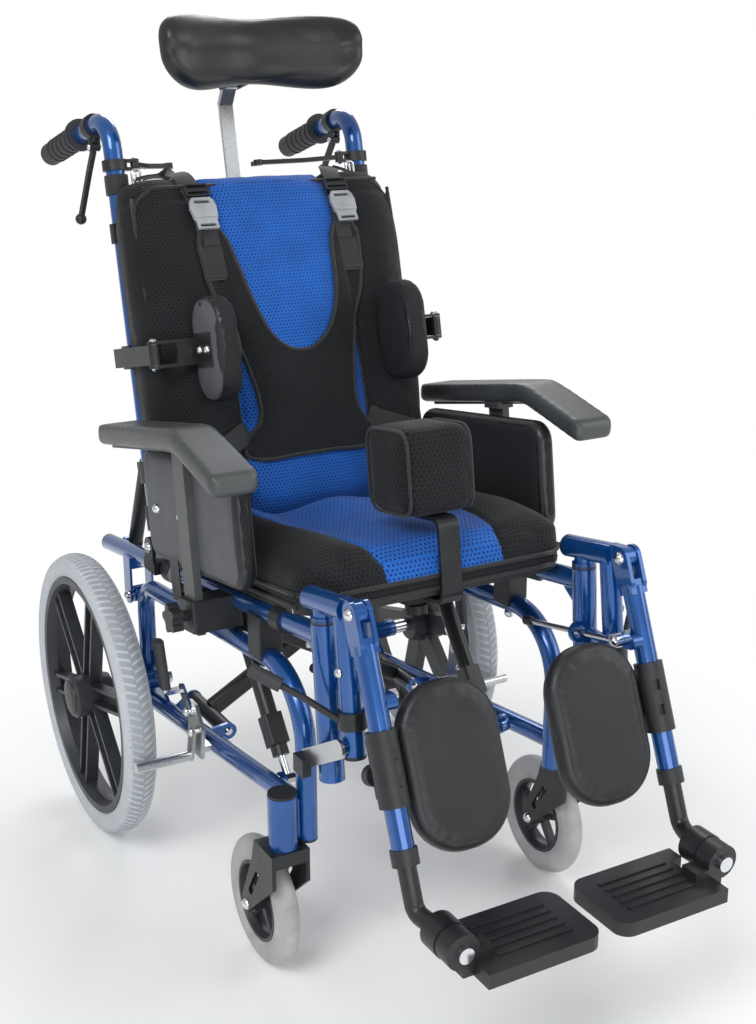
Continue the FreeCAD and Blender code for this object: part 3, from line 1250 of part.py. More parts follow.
def hip_support():
    low = vec(HIP_X, HIP_FRONT, HIP_LOW)
    high = vec(HIP_X + HIP_THICKNESS, HIP_REAR, HIP_HIGH)
    pad = pad_block(low, high, 26, 10, 4)
    outer = HIP_X + HIP_THICKNESS
    rail = box_between(vec(outer + 0.1, HIP_BAR_Y - 15, TUBE_RADIUS - 22), vec(outer + 1.7, HIP_BAR_Y + 15, 128))
    foot = box_between(vec(FRAME_X + 10, HIP_BAR_Y - 15, -4), vec(outer + 1.7, HIP_BAR_Y + 15, 4))
    tube = cylinder(vec(FRAME_X, HIP_BAR_Y - 60, 0), vec(FRAME_X, HIP_BAR_Y + 60, 0), TUBE_RADIUS + 0.05)
    slotted = box_between(vec(outer + 0.1, HIP_BAR_Y - 60, 92), vec(outer + 1.7, HIP_BAR_Y + 60, 120))
    bracket = fused([rail, foot, slotted])
    bracket = bracket.cut(tube)
    heads = [
        Part.makeSphere(7, vec(outer + 1, HIP_BAR_Y + offset, 106)).common(
            box_between(vec(outer + 1.75, HIP_BAR_Y - 80, 90), vec(outer + 9, HIP_BAR_Y + 80, 122))
        )
        for offset in (-42, 42)
    ]
    return [on_seat(shape) for shape in [pad, bracket] + heads]


def hip_supports():
    solids = hip_support()
    return Part.makeCompound(solids + [mirrored(solid) for solid in solids])


# Pommel: an upholstered block on a bar that slides under the front of the seat
def pommel_bracket():
    front = CUSHION_FRONT - 6.5
    top_y = front + 62
    top = 103.0
    points = [vec(0, top_y, top), vec(0, front, top), vec(0, front, 3), vec(0, -350, 3)]
    body = strip(points, [12, 12], vec(28, 0, 0), 5)
    return on_seat(body)


def pommel_block():
    half = POMMEL_WIDTH / 2
    low = vec(-half, POMMEL_FRONT + 2, 106)
    high = vec(half, POMMEL_FRONT + 2 + POMMEL_DEPTH, 106 + POMMEL_HEIGHT)
    block = box_between(low, high)
    block = block.makeFillet(20, block.Edges)
    return on_seat(block)


def pommel_guide():
    """The holder under the seat that the pommel bar slides in, with its thumb knob."""
    low = vec(-26, -462, -9)
    high = vec(26, -412, BOARD_LOW - 0.1)
    block = box_between(low, high)
    block = block.cut(box_between(vec(-14.1, -470, 0.4), vec(14.1, -400, 5.6)))
    knob_top = vec(0, -437, -9.1)
    knob = fused([cylinder(knob_top, knob_top - Z_AXIS * 8, 6), cylinder(knob_top - Z_AXIS * 7, knob_top - Z_AXIS * 18, 14)])
    return [on_seat(block), on_seat(knob)]


# Hanger: hooks into the socket and swings away. Knee pin in front, latch at the outside
TONGUE = 6.0
YOKE_GAP = 0.3
YOKE_PLATE = 5.0
ROD_EYE = (22.0, 92.0)
ROD_X = 153.0
ROD_RADIUS = 3.5
ROD_ROOM = 5.1
ROD_BLOCK = vec(ROD_X, -568.0, 413.0)
ROD_TAIL = 107.0
HANGER_REAR = -510.0
DROP_TOP = vec(LEG_X, -588.0, 508.0)
DROP_FOOT = vec(LEG_X, -610.0, HANGER_BOTTOM)
RELEASE_PLACE = vec(LEG_X, -604.4, 392.0)


def drop_at(z):
    share = (DROP_TOP.z - z) / (DROP_TOP.z - DROP_FOOT.z)
    return DROP_TOP + (DROP_FOOT - DROP_TOP) * share


def hanger():
    rear = vec(LEG_X, HANGER_REAR, 502)
    front = vec(LEG_X, KNEE_Y + 22, KNEE_Z - 4)
    pin_top = socket_point(LEG_X, 504)
    pin_foot = socket_point(LEG_X, 330)
    bush_low = socket_point(LEG_X, SOCKET_TOP + CLEARANCE)
    bush_high = socket_point(LEG_X, SOCKET_TOP + 8)
    tongue_start = KNEE - X_AXIS * TONGUE
    tongue = link(tongue_start, tongue_start + vec(0, 26, -3), 12, X_AXIS * 2 * TONGUE)
    drop = cylinder(DROP_TOP, DROP_FOOT, TUBE_RADIUS)
    solids = [
        cylinder(rear, front, HANGER_TUBE_RADIUS),
        cylinder(pin_foot, pin_top, PIN_RADIUS),
        cylinder(bush_low, bush_high, SOCKET_RADIUS),
        tongue,
        drop,
    ]
    # Block for the elevation rod
    block = cylinder(ROD_BLOCK - rod_way() * 3, ROD_BLOCK + rod_way() * 3, 13)
    block_tie = box_between(
        vec(ROD_X + 10, -604, ROD_BLOCK.z - 6), vec(ROD_X + 15, ROD_BLOCK.y + 2, ROD_BLOCK.z + 6)
    )
    # Latch plate at the outside, with its block behind the socket
    latch_x = LEG_X + SOCKET_RADIUS + 2
    latch_front = vec(latch_x, DROP_FOOT.y + 1, HANGER_BOTTOM + 10)
    latch_rear = vec(latch_x, -530, 316)
    latch = link(latch_front, latch_rear, 11, X_AXIS * 4)
    latch_tie = cylinder(vec(LEG_X + 8, latch_front.y, latch_front.z), latch_front + X_AXIS * 4, 8)
    solids += [block, block_tie, latch, latch_tie]
    body = fused(solids)
    body = body.cut(cylinder(drop_at(500), DROP_FOOT, TUBE_RADIUS - TUBE_WALL))
    body = body.cut(cross_pin(KNEE_Y, KNEE_Z, LEG_X - 20, LEG_X + 20, PIVOT_BOLT + RUNNING))
    body = body.cut(cylinder(ROD_BLOCK - rod_way() * 30, ROD_BLOCK + rod_way() * 30, ROD_RADIUS + ROD_ROOM))
    reach = TONGUE + YOKE_GAP + YOKE_PLATE + 0.1
    knee_bolt = bolt_along(KNEE - X_AXIS * reach, KNEE + X_AXIS * reach, PIVOT_BOLT, 8)
    rear_cap = cylinder(rear - (rear - front).normalize() * -0.05, rear + (rear - front).normalize() * 3, HANGER_TUBE_RADIUS)
    foot_way = (DROP_FOOT - DROP_TOP).normalize()
    foot_cap = cylinder(DROP_FOOT + foot_way * 0.05, DROP_FOOT + foot_way * 4, TUBE_RADIUS)
    side_bolt_place = drop_at(446) + X_AXIS * (TUBE_RADIUS + 0.05)
    side_bolt = dome_bolt(side_bolt_place, X_AXIS * -1, 2.5, 6.5, 1.2).cut(drop)
    latch_block = box_between(vec(latch_x + 4.05, -545, 300), vec(latch_x + 15, -521, 322))
    return Part.makeCompound([body, knee_bolt, rear_cap, foot_cap, side_bolt, latch_block])


def rod_eye_place():
    return leg_point(ROD_X, 14.7, 93.6)


def rod_way():
    return (ROD_BLOCK - rod_eye_place()).normalize()


def elevation_rod():
    start = rod_eye_place()
    way = rod_way()
    reach = (ROD_BLOCK - start).Length
    eye = cross_pin(start.y, start.z, ROD_X - 5, ROD_X + 5, 9)
    rod = cylinder(start + way * 6, start + way * (reach + ROD_TAIL), ROD_RADIUS)
    rod = fused([eye, rod]).cut(cross_pin(start.y, start.z, ROD_X - 9, ROD_X + 9, BOLT + RUNNING))
    tip = cylinder(start + way * (reach + ROD_TAIL - 12), start + way * (reach + ROD_TAIL + 3), 6)
    tip = tip.cut(cylinder(start, start + way * (reach + ROD_TAIL + 0.05), ROD_RADIUS + 0.05))
    return Part.makeCompound([rod, tip])


def release_lever():
    """A ring on the hanger's tube with a bent handle."""
    way = (DROP_TOP - DROP_FOOT).normalize()
    ring = cylinder(RELEASE_PLACE - way * 10, RELEASE_PLACE + way * 10, TUBE_RADIUS + 4)
    root = RELEASE_PLACE + vec(TUBE_RADIUS + 1, 2, 0)
    elbow = vec(LEG_X + 45, RELEASE_PLACE.y + 30, RELEASE_PLACE.z + 24)
    tip = vec(LEG_X + 86, RELEASE_PLACE.y + 66, RELEASE_PLACE.z + 50)
    arm = pipe([root, elbow, tip], [14], 4)
    lever = fused([ring, arm]).cut(cylinder(DROP_FOOT, DROP_TOP, TUBE_RADIUS + RUNNING))
    run = (tip - elbow).normalize()
    grip = cylinder(tip - run * 34, tip + run * 5, 8)
    grip = grip.cut(cylinder(elbow, tip + run * 0.05, 4.05))
    return Part.makeCompound([lever, grip])


def legrest():
    inner = TONGUE + YOKE_GAP
    outer = inner + YOKE_PLATE
    tube_top = leg_point(LEG_X, 0, 34)
    tube_foot = leg_point(LEG_X, 0, LEG_LENGTH)
    cheek_foot = leg_point(LEG_X, 0, 30)
    solids = []
    for start in (-outer, inner):
        solids.append(link(KNEE + X_AXIS * start, cheek_foot + X_AXIS * start, 14, X_AXIS * YOKE_PLATE))
    bridge = bar(
        leg_point(LEG_X, 0, 27), leg_point(LEG_X, 0, 44), X_AXIS * 2 * outer, LEG_REARWARD * 24
    )
    ear_x = ROD_X + 5 + CLEARANCE
    eye = rod_eye_place()
    ear = link(vec(ear_x, eye.y, eye.z), leg_point(ear_x, -2, 98), 9, X_AXIS * (LEG_X - 8 - ear_x))
    solids += [bridge, ear]
    body = hollow_frame([([tube_top, tube_foot], [], TUBE_RADIUS)], TUBE_WALL, solids)
    body = body.cut(cross_pin(KNEE_Y, KNEE_Z, LEG_X - 20, LEG_X + 20, PIVOT_BOLT + RUNNING))
    body = body.cut(cross_pin(eye.y, eye.z, ROD_X, LEG_X - 4, BOLT + RUNNING))
    eye_bolt = dome_bolt(vec(ROD_X - 5.1, eye.y, eye.z), X_AXIS, BOLT, 6.5, 17)
    collar_low = leg_point(LEG_X, 0, LEG_LENGTH - 16)
    collar = cylinder(collar_low, leg_point(LEG_X, 0, LEG_LENGTH + 2), TUBE_RADIUS + 2.5)
    collar = collar.cut(cylinder(collar_low, leg_point(LEG_X, 0, LEG_LENGTH + 9), TUBE_RADIUS + 0.05))
    return Part.makeCompound([body, eye_bolt, collar])


SLEEVE_TOP = 125.0
SLEEVE_FOOT = 206.0
CALF_X = 98.0
CALF_REARWARD = 7.0


def calf_pad():
    low = vec(CALF_X - CALF_WIDTH / 2, CALF_REARWARD - CALF_THICKNESS / 2, -CALF_CENTRE - CALF_HEIGHT / 2)
    high = vec(CALF_X + CALF_WIDTH / 2, CALF_REARWARD + CALF_THICKNESS / 2, CALF_HEIGHT / 2 - CALF_CENTRE)
    block = box_between(low, high)
    corners = [edge for edge in block.Edges if abs(edge.tangentAt(edge.FirstParameter).y) > 0.99]
    block = block.makeFillet(56, corners)
    pad = block.makeFillet(10, block.Edges)
    sleeve = cylinder(vec(LEG_X, 0, -SLEEVE_TOP), vec(LEG_X, 0, -SLEEVE_FOOT), 17)
    rear = high.y
    tie = box_between(vec(LEG_X - 12, 8, -SLEEVE_FOOT + 8), vec(LEG_X + 8, rear + 5, -SLEEVE_TOP - 8))
    back_plate = box_between(vec(CALF_X - 30, rear + 0.1, -SLEEVE_FOOT + 18), vec(LEG_X, rear + 5, -SLEEVE_TOP - 18))
    body = fused([sleeve, tie, back_plate])
    body = body.cut(cylinder(vec(LEG_X, 0, -SLEEVE_TOP + 9), vec(LEG_X, 0, -SLEEVE_FOOT - 9), TUBE_RADIUS + RUNNING))
    for height in (-SLEEVE_TOP - 26, -SLEEVE_FOOT + 26):
        body = body.cut(box_between(vec(LEG_X - 18, -18, height - 6), vec(LEG_X - 2, -14.2, height + 6)))
    knob_place = vec(LEG_X + 2, rear + 5.1, -CALF_CENTRE + 6)
    knob = cylinder(knob_place, knob_place + Y_AXIS * 13, 12)
    return placed_leg(Part.makeCompound([pad, body, knob]))


def foot_tube():
    start = leg_point(LEG_X, 0, LEG_LENGTH - FOOT_INSERT)
    corner = leg_point(LEG_X, 0, FOOT_REACH)
    tube_end = vec(FOOT_HINGE_X, HINGE_REAR - 6, FOOT_HINGE_Z)
    hinge_end = vec(FOOT_HINGE_X, HINGE_FRONT, FOOT_HINGE_Z)
    tube = pipe([start, corner, tube_end], [16], FOOT_TUBE_RADIUS)
    block = cylinder(vec(FOOT_HINGE_X, HINGE_REAR, FOOT_HINGE_Z), hinge_end, HINGE_RADIUS)
    body = tube.fuse(block).removeSplitter()
    button_place = vec(FOOT_HINGE_X, HINGE_END - CLEARANCE, FOOT_HINGE_Z)
    pin = cylinder(button_place, vec(FOOT_HINGE_X, HINGE_FRONT + 8, FOOT_HINGE_Z), 6)
    body = body.fuse(pin).removeSplitter()
    button = cylinder(button_place - Y_AXIS * 0.05, button_place - Y_AXIS * 6, 9)
    return Part.makeCompound([body, button])


HINGE_REAR = -770.0
HINGE_FRONT = -796.0
HINGE_END = -820.0
HINGE_RADIUS = 21.0


def footplate():
    outer = FOOT_HINGE_X - 14
    outline_low = vec(PLATE_INNER, PLATE_FRONT, PLATE_TOP - PLATE_THICKNESS)
    outline_high = vec(outer, PLATE_REAR, PLATE_TOP)
    slab = box_between(outline_low, outline_high)
    corners = [
        edge for edge in slab.Edges
        if abs(edge.tangentAt(edge.FirstParameter).z) > 0.99 and edge.Vertexes[0].X < PLATE_INNER + 1
    ]
    slab = slab.makeFillet(18, corners)
    slab = slab.cut(box_between(vec(outer - 16, HINGE_FRONT - 0.2, FOOT_HINGE_Z - 60), vec(outer + 9, HINGE_REAR + 1, 400)))
    ribs = [
        box_between(vec(PLATE_INNER + 26, y - 2, PLATE_TOP - 0.5), vec(outer - 26, y + 2, PLATE_TOP + 1.8))
        for y in (-770.0, -783.0, -796.0, -809.0, -822.0)
    ]
    solids = [slab] + ribs
    lug_end = HINGE_FRONT - CLEARANCE
    solids.append(cylinder(vec(FOOT_HINGE_X, HINGE_END, FOOT_HINGE_Z), vec(FOOT_HINGE_X, lug_end, FOOT_HINGE_Z), 20))
    lug_low = vec(outer - 24, HINGE_END, PLATE_TOP - PLATE_THICKNESS + 2)
    solids.append(box_between(lug_low, vec(FOOT_HINGE_X, lug_end, FOOT_HINGE_Z - 4)))
    body = fused(solids)
    pin_room = cylinder(
        vec(FOOT_HINGE_X, HINGE_END - 1, FOOT_HINGE_Z), vec(FOOT_HINGE_X, lug_end + 1, FOOT_HINGE_Z), 6 + RUNNING
    )
    return body.cut(pin_room)


# Hand levers at the push handles
def handle_place(share):
    points = cane_points()
    return points[1] + (points[2] - points[1]) * share


BRAKE_SHARE = 0.26
BRAKE_PIVOT = handle_place(BRAKE_SHARE) + vec(0, 0, -27)
TILT_PIVOT = back_point(CANE_X - 28, -2, 520)
CLAMP_WIDTH = 14.0


def clamp_on(place, way, pivot, run):
    """A ring clamp on a tube with a two-cheek lug for a lever pin along the run."""
    ring = cylinder(place - way * CLAMP_WIDTH / 2, place + way * CLAMP_WIDTH / 2, TUBE_RADIUS + 4)
    body = [ring]
    for offset in (-7.3, 3.3):
        start = pivot + run * offset
        towards = place + run * (pivot - place).dot(run) + run * offset
        body.append(link(start, towards, 6, run * 4))
    body = fused(body)
    body = body.cut(cylinder(place - way * 40, place + way * 40, TUBE_RADIUS + 0.05))
    body = body.cut(cylinder(pivot - run * 20, pivot + run * 20, 3 + RUNNING))
    pin = bolt_along(pivot - run * 7.4, pivot + run * 7.4, 3, 4.5)
    return [body, pin]


def lever_clamps():
    points = cane_points()
    way = (points[2] - points[1]).normalize()
    brake = clamp_on(handle_place(BRAKE_SHARE), way, BRAKE_PIVOT, X_AXIS)
    hand = clamp_on(back_point(CANE_X, 0, 520), BACK_UP, TILT_PIVOT, BACK_UP)
    solids = brake + hand
    return Part.makeCompound(solids + [mirrored(solid) for solid in solids])


def brake_lever():
    eye = cylinder(BRAKE_PIVOT - X_AXIS * 3, BRAKE_PIVOT + X_AXIS * 3, 6)
    knee = BRAKE_PIVOT + vec(0, 26, -34)
    tip = BRAKE_PIVOT + vec(4, 64, -104)
    blade = bar(BRAKE_PIVOT + vec(0, 3, -4), knee, X_AXIS * 6, (knee - BRAKE_PIVOT).cross(X_AXIS).normalize() * 9)
    blade_low = bar(knee, tip, X_AXIS * 6, (tip - knee).cross(X_AXIS).normalize() * 9)
    ball = Part.makeSphere(8, tip)
    body = fused([eye, blade, blade_low, ball])
    return body.cut(cylinder(BRAKE_PIVOT - X_AXIS * 20, BRAKE_PIVOT + X_AXIS * 20, 3 + RUNNING))


def hand_lever(reach, hooked):
    """A lever that points inboard from the cane, turning about the cane's direction."""
    half = BACK_UP * 3
    eye = cylinder(TILT_PIVOT - half, TILT_PIVOT + half, 6)
    knee = TILT_PIVOT + vec(-reach * 0.4, 0, 0) + BACK_REARWARD * 20
    tip = TILT_PIVOT + vec(-reach, 0, 0) + BACK_REARWARD * 26
    solids = [eye]
    for start, end in ((TILT_PIVOT + (knee - TILT_PIVOT).normalize() * 4, knee), (knee, tip)):
        side = (end - start).cross(BACK_UP).normalize()
        solids.append(bar(start, end, BACK_UP * 6, side * 9))
    solids.append(cylinder(knee - half, knee + half, 4.5))
    if hooked:
        end = tip + BACK_REARWARD * 16
        solids.append(bar(tip - BACK_REARWARD * 4, end, BACK_UP * 6, X_AXIS * 9))
    solids.append(cylinder(tip - half * 1.3, tip + half * 1.3, 6.5))
    body = fused(solids)
    return body.cut(cylinder(TILT_PIVOT - BACK_UP * 20, TILT_PIVOT + BACK_UP * 20, 3 + RUNNING))


def cables():
    """Cables that run down the canes to the struts and the wheel brakes."""
    radius = 2.5
    off = TUBE_RADIUS + 4.3 + radius
    solids = []
    for side in (-1, 1):
        top = back_point(side * CANE_X, off, 500)
        low = back_point(side * CANE_X, off, 290)
        first = back_point(side * (CANE_X - 18), off + 20, 512)
        solids.append(pipe([first, top, low], [9], radius))
    return Part.makeCompound(solids)


def recline_cylinder():
    way = (RECLINE_HIGH - RECLINE_LOW).normalize()
    reach = (RECLINE_HIGH - RECLINE_LOW).Length
    eye = cross_pin(RECLINE_LOW.y, RECLINE_LOW.z, RECLINE_STRUT_X - 8, RECLINE_STRUT_X + 8, STRUT_EYE)
    body = cylinder(RECLINE_LOW + way * 8, RECLINE_LOW + way * RECLINE_BODY, STRUT_RADIUS)
    body = fused([eye, body])
    body = body.cut(cylinder(RECLINE_LOW + way * 20, RECLINE_LOW + way * (RECLINE_BODY - 9), STRUT_RADIUS - 2.5))
    body = body.cut(cylinder(RECLINE_LOW + way * 20, RECLINE_LOW + way * reach, STRUT_ROD + RUNNING))
    return body.cut(cross_pin(RECLINE_LOW.y, RECLINE_LOW.z, RECLINE_STRUT_X - 20, RECLINE_STRUT_X + 20, BOLT + RUNNING))


RECLINE_BODY = 160.0


def recline_rod():
    way = (RECLINE_HIGH - RECLINE_LOW).normalize()
    reach = (RECLINE_HIGH - RECLINE_LOW).Length
    eye = cross_pin(RECLINE_HIGH.y, RECLINE_HIGH.z, RECLINE_STRUT_X - 8, RECLINE_STRUT_X + 8, STRUT_EYE)
    rod = cylinder(RECLINE_LOW + way * (RECLINE_BODY - 24), RECLINE_HIGH, STRUT_ROD)
    piston = cylinder(
        RECLINE_LOW + way * (RECLINE_BODY - 24), RECLINE_LOW + way * (RECLINE_BODY - 14), STRUT_RADIUS - 2.7
    )
    pin_end = RECLINE_STRUT_X + 9.2 + PIN_PLATE
    pin = cross_pin(RECLINE_HIGH.y, RECLINE_HIGH.z, RECLINE_STRUT_X - 12, pin_end, 4)
    return fused([eye, rod, piston, pin])


def both_sides(shape):
    return Part.makeCompound([shape, mirrored(shape)])


SIDES = {
    "base_frame": side_frame,
    "rear_wheel": rear_wheel,
    "caster_fork": caster_fork,
    "caster_wheel": caster_wheel,
    "lock_lever": lock_lever,
    "lock_shoe": lock_shoe,
    "seat_frame": seat_frame,
    "armrest": armrest,
    "elevation_rod": elevation_rod,
    "trunk_pad": trunk_pad,
    "brake_lever": brake_lever,
    "hanger": hanger,
    "legrest": legrest,
    "calf_pad": calf_pad,
    "foot_tube": foot_tube,
    "footplate": footplate,
    "release_lever": release_lever,
}

nodes = {}
for name, make in SIDES.items():
    left = make()
    nodes["left_" + name] = left
    nodes["right_" + name] = mirrored(left)

back_shape = back_cushion()
axle = rear_axle()
bolts = frame_bolts()
nodes["cross_braces"] = Part.makeCompound([brace_arm(1), brace_arm(-1)])
nodes["rail_saddles"] = both_sides(saddle())
nodes["frame_bolts"] = Part.makeCompound(bolts.Solids + [axle, mirrored(axle)])
nodes["seat_tube_boots"] = seat_tube_boots()
nodes["tilt_cylinders"] = both_sides(tilt_cylinder())
nodes["tilt_rods"] = both_sides(tilt_rod())
nodes["recline_cylinders"] = both_sides(recline_cylinder())
nodes["recline_rods"] = both_sides(recline_rod())
nodes["seat_board"] = Part.makeCompound(seat_board().Solids + pommel_guide())
nodes["seat_cushion"] = seat_cushion()
nodes["armrest_clamps"] = armrest_clamps()
nodes["hip_supports"] = hip_supports()
nodes["pommel_block"] = pommel_block()
nodes["pommel_bracket"] = pommel_bracket()
nodes["back_canes"] = back_canes()
nodes["back_cushion"] = placed_back(back_shape)
nodes["vest"] = placed_back(vest(back_shape))
nodes["push_grips"] = both_sides(push_grip())
nodes["headrest_crossbar"] = headrest_crossbar()
nodes["trunk_brackets"] = both_sides(trunk_bracket())
nodes["headrest_post"] = headrest_post()
nodes["headrest_pad"] = headrest_pad()
nodes["tilt_lever"] = mirrored(hand_lever(58, False))
nodes["recline_lever"] = hand_lever(118, True)
nodes["lever_clamps"] = lever_clamps()
nodes["cables"] = cables()

# The middle of the floor box becomes the origin
grip_rear = nodes["push_grips"].optimalBoundingBox().YMax
plate_front = nodes["left_footplate"].optimalBoundingBox().YMin
SHIFT = vec(0, -(plate_front + grip_rear) / 2, 0)

os.makedirs("parts", exist_ok=True)
for name, shape in nodes.items():
    moved = shape.copy()
    moved.translate(SHIFT)
    moved.exportStep("parts/" + name + ".step")
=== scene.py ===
import math

import bmesh
import bpy
import numpy as np
from mathutils import Matrix, Vector
from mathutils.bvhtree import BVHTree


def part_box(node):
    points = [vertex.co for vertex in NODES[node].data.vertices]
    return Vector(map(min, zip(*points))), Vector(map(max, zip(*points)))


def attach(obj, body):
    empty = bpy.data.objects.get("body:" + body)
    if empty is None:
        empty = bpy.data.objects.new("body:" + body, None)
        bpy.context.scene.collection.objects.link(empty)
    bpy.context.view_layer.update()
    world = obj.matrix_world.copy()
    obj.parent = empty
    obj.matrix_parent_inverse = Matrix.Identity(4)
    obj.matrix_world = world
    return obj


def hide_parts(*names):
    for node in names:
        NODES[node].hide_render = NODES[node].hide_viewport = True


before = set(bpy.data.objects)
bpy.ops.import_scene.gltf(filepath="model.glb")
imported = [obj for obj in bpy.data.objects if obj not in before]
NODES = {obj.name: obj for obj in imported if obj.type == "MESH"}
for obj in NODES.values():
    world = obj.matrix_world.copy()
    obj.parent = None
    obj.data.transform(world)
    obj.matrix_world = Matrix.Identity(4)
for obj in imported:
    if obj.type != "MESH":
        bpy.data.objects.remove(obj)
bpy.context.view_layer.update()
MM = 0.001
wheel_low, wheel_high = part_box("left_rear_wheel")
AXLE_Y = (wheel_low.y + wheel_high.y) / 2

# Sizes of the chair in millimetres, with the rear axle on Y = 0, as the CAD source has them
SEAT_PITCH = 8.0
BACK_LEAN = 11.8
LEG_ANGLE = 22.5
SEAT_TUBE_Y, SEAT_TUBE_Z = -481.0, 457.0
RECLINE_Y = -60.0
RECLINE_Z = SEAT_TUBE_Z + (SEAT_TUBE_Y - RECLINE_Y) * math.tan(math.radians(SEAT_PITCH)) + 32.0
KNEE_Y, KNEE_Z = -618.0, 520.0
FRAME_X = 180.0
CANE_X = 185.0
REAR_X, REAR_RADIUS = 276.0, 203.0
BACK_TOP = 492.0
BACK_HALF = 205.0


def leaning(angle, origin_y, origin_z):
    """Matrix of a frame that leans back by an angle, from millimetres to metres."""
    turn = math.radians(angle)
    rows = (
        (MM, 0, 0, 0),
        (0, MM * math.cos(turn), MM * math.sin(turn), AXLE_Y + MM * origin_y),
        (0, -MM * math.sin(turn), MM * math.cos(turn), MM * origin_z),
        (0, 0, 0, 1),
    )
    return Matrix(rows)


UPRIGHT = leaning(0, 0, 0)
BACK = leaning(BACK_LEAN, RECLINE_Y, RECLINE_Z)
seat_turn = math.radians(SEAT_PITCH)
SEAT = leaning(
    SEAT_PITCH,
    SEAT_TUBE_Y - SEAT_TUBE_Y * math.cos(seat_turn),
    SEAT_TUBE_Z + SEAT_TUBE_Y * math.sin(seat_turn),
)
LEG = leaning(LEG_ANGLE, KNEE_Y, KNEE_Z)

# Camera at the photograph's viewpoint
camera = bpy.data.objects.new("camera", bpy.data.cameras.new("camera"))
bpy.context.scene.collection.objects.link(camera)
camera.data.sensor_width = 36.0
camera.data.lens = 1433.0 / 1024.0 * 36.0
camera.location = (-0.859, AXLE_Y - 1.850, 1.079)
look = Vector((0.4725, 0.8276, -0.3029))
camera.rotation_mode = "QUATERNION"
camera.rotation_quaternion = look.to_track_quat("-Z", "Y")
camera.data.clip_start = 0.05
bpy.context.scene.camera = camera


# Materials
class Recipe:
    """A material under construction, with short calls for its nodes."""

    def __init__(self, name):
        self.material = bpy.data.materials.new(name)
        self.material.use_nodes = True
        self.tree = self.material.node_tree
        self.shader = self.tree.nodes["Principled BSDF"]
        self.place = None

    def node(self, kind, **values):
        made = self.tree.nodes.new(kind)
        for key, value in values.items():
            setattr(made, key, value)
        return made

    def link(self, source, target):
        self.tree.links.new(source, target)

    def coords(self):
        if self.place is None:
            self.place = self.node("ShaderNodeTexCoord").outputs["Object"]
        return self.place

    def math(self, operation, first, second=None, clamp=False):
        made = self.node("ShaderNodeMath", operation=operation, use_clamp=clamp)
        for index, value in enumerate((first, second)):
            if value is None:
                continue
            if isinstance(value, (int, float)):
                made.inputs[index].default_value = value
            else:
                self.link(value, made.inputs[index])
        return made.outputs[0]

    def noise(self, size, detail=3.0, roughness=0.55, stretch=None):
        made = self.node("ShaderNodeTexNoise")
        made.inputs["Scale"].default_value = 1.0 / (size * MM)
        made.inputs["Detail"].default_value = detail
        made.inputs["Roughness"].default_value = roughness
        source = self.coords()
        if stretch:
            mapping = self.node("ShaderNodeMapping")
            mapping.inputs["Scale"].default_value = stretch
            self.link(source, mapping.inputs["Vector"])
            source = mapping.outputs[0]
        self.link(source, made.inputs["Vector"])
        return made.outputs["Fac"]

    def ramp(self, value, low, high, start, end):
        made = self.node("ShaderNodeMapRange")
        self.link(value, made.inputs["Value"])
        for key, number in zip(("From Min", "From Max", "To Min", "To Max"), (low, high, start, end)):
            made.inputs[key].default_value = number
        return made.outputs[0]

    def mix(self, share, first, second):
        made = self.node("ShaderNodeMix", data_type="RGBA")
        self.link(share, made.inputs[0])
        for socket, value in ((made.inputs[6], first), (made.inputs[7], second)):
            if isinstance(value, tuple):
                socket.default_value = (*value, 1)
            else:
                self.link(value, socket)
        return made.outputs[2]

    def colour(self, source):
        if isinstance(source, tuple):
            self.shader.inputs["Base Color"].default_value = (*source, 1)
        else:
            self.link(source, self.shader.inputs["Base Color"])

    def bump(self, height, strength, distance):
        made = self.node("ShaderNodeBump")
        made.inputs["Strength"].default_value = strength
        made.inputs["Distance"].default_value = distance * MM
        self.link(height, made.inputs["Height"])
        self.link(made.outputs[0], self.shader.inputs["Normal"])

    def set(self, **values):
        for key, value in values.items():
            self.shader.inputs[key.replace("_", " ")].default_value = value


def painted(name, dark, light, metallic, rough):
    """Glossy lacquer over metal, with faint flake and a clear coat."""
    recipe = Recipe(name)
    flake = recipe.noise(0.9, 2)
    broad = recipe.noise(70, 2)
    sparkle = recipe.ramp(flake, 0.35, 0.65, 0, 0.45)
    share = recipe.math("ADD", sparkle, recipe.ramp(broad, 0.3, 0.7, 0, 0.35), True)
    recipe.colour(recipe.mix(share, dark, light))
    recipe.set(Metallic=metallic, Coat_Weight=1.0, Coat_Roughness=0.04)
    recipe.link(recipe.ramp(broad, 0.3, 0.7, rough, rough + 0.1), recipe.shader.inputs["Roughness"])
    recipe.bump(recipe.noise(14, 2), 0.06, 0.2)
    return recipe.material


def coated(name, colour, rough, grain=0.8, depth=0.12, strength=0.5, worn=None):
    """Powder coat, moulded plastic or rubber: a fine grain with slight changes of tone."""
    recipe = Recipe(name)
    broad = recipe.noise(45, 4)
    fine = recipe.noise(grain, 2)
    low = tuple(value * 0.78 for value in colour)
    high = worn or tuple(min(1, value * 1.35 + 0.003) for value in colour)
    recipe.colour(recipe.mix(recipe.ramp(broad, 0.25, 0.75, 0, 1), low, high))
    recipe.link(recipe.ramp(broad, 0.3, 0.7, rough - 0.05, rough + 0.08), recipe.shader.inputs["Roughness"])
    recipe.bump(fine, strength, depth)
    return recipe.material


def bare_metal(name, colour, rough, brushed):
    """Plated or brushed steel."""
    recipe = Recipe(name)
    stretch = (1, 1, 0.04) if brushed else None
    line = recipe.noise(0.7 if brushed else 25, 3, 0.6, stretch)
    recipe.colour(recipe.mix(recipe.ramp(line, 0.3, 0.7, 0, 1), tuple(v * 0.86 for v in colour), colour))
    recipe.set(Metallic=1.0)
    recipe.link(recipe.ramp(line, 0.3, 0.7, rough, rough + 0.12), recipe.shader.inputs["Roughness"])
    if brushed:
        recipe.bump(line, 0.15, 0.03)
    return recipe.material


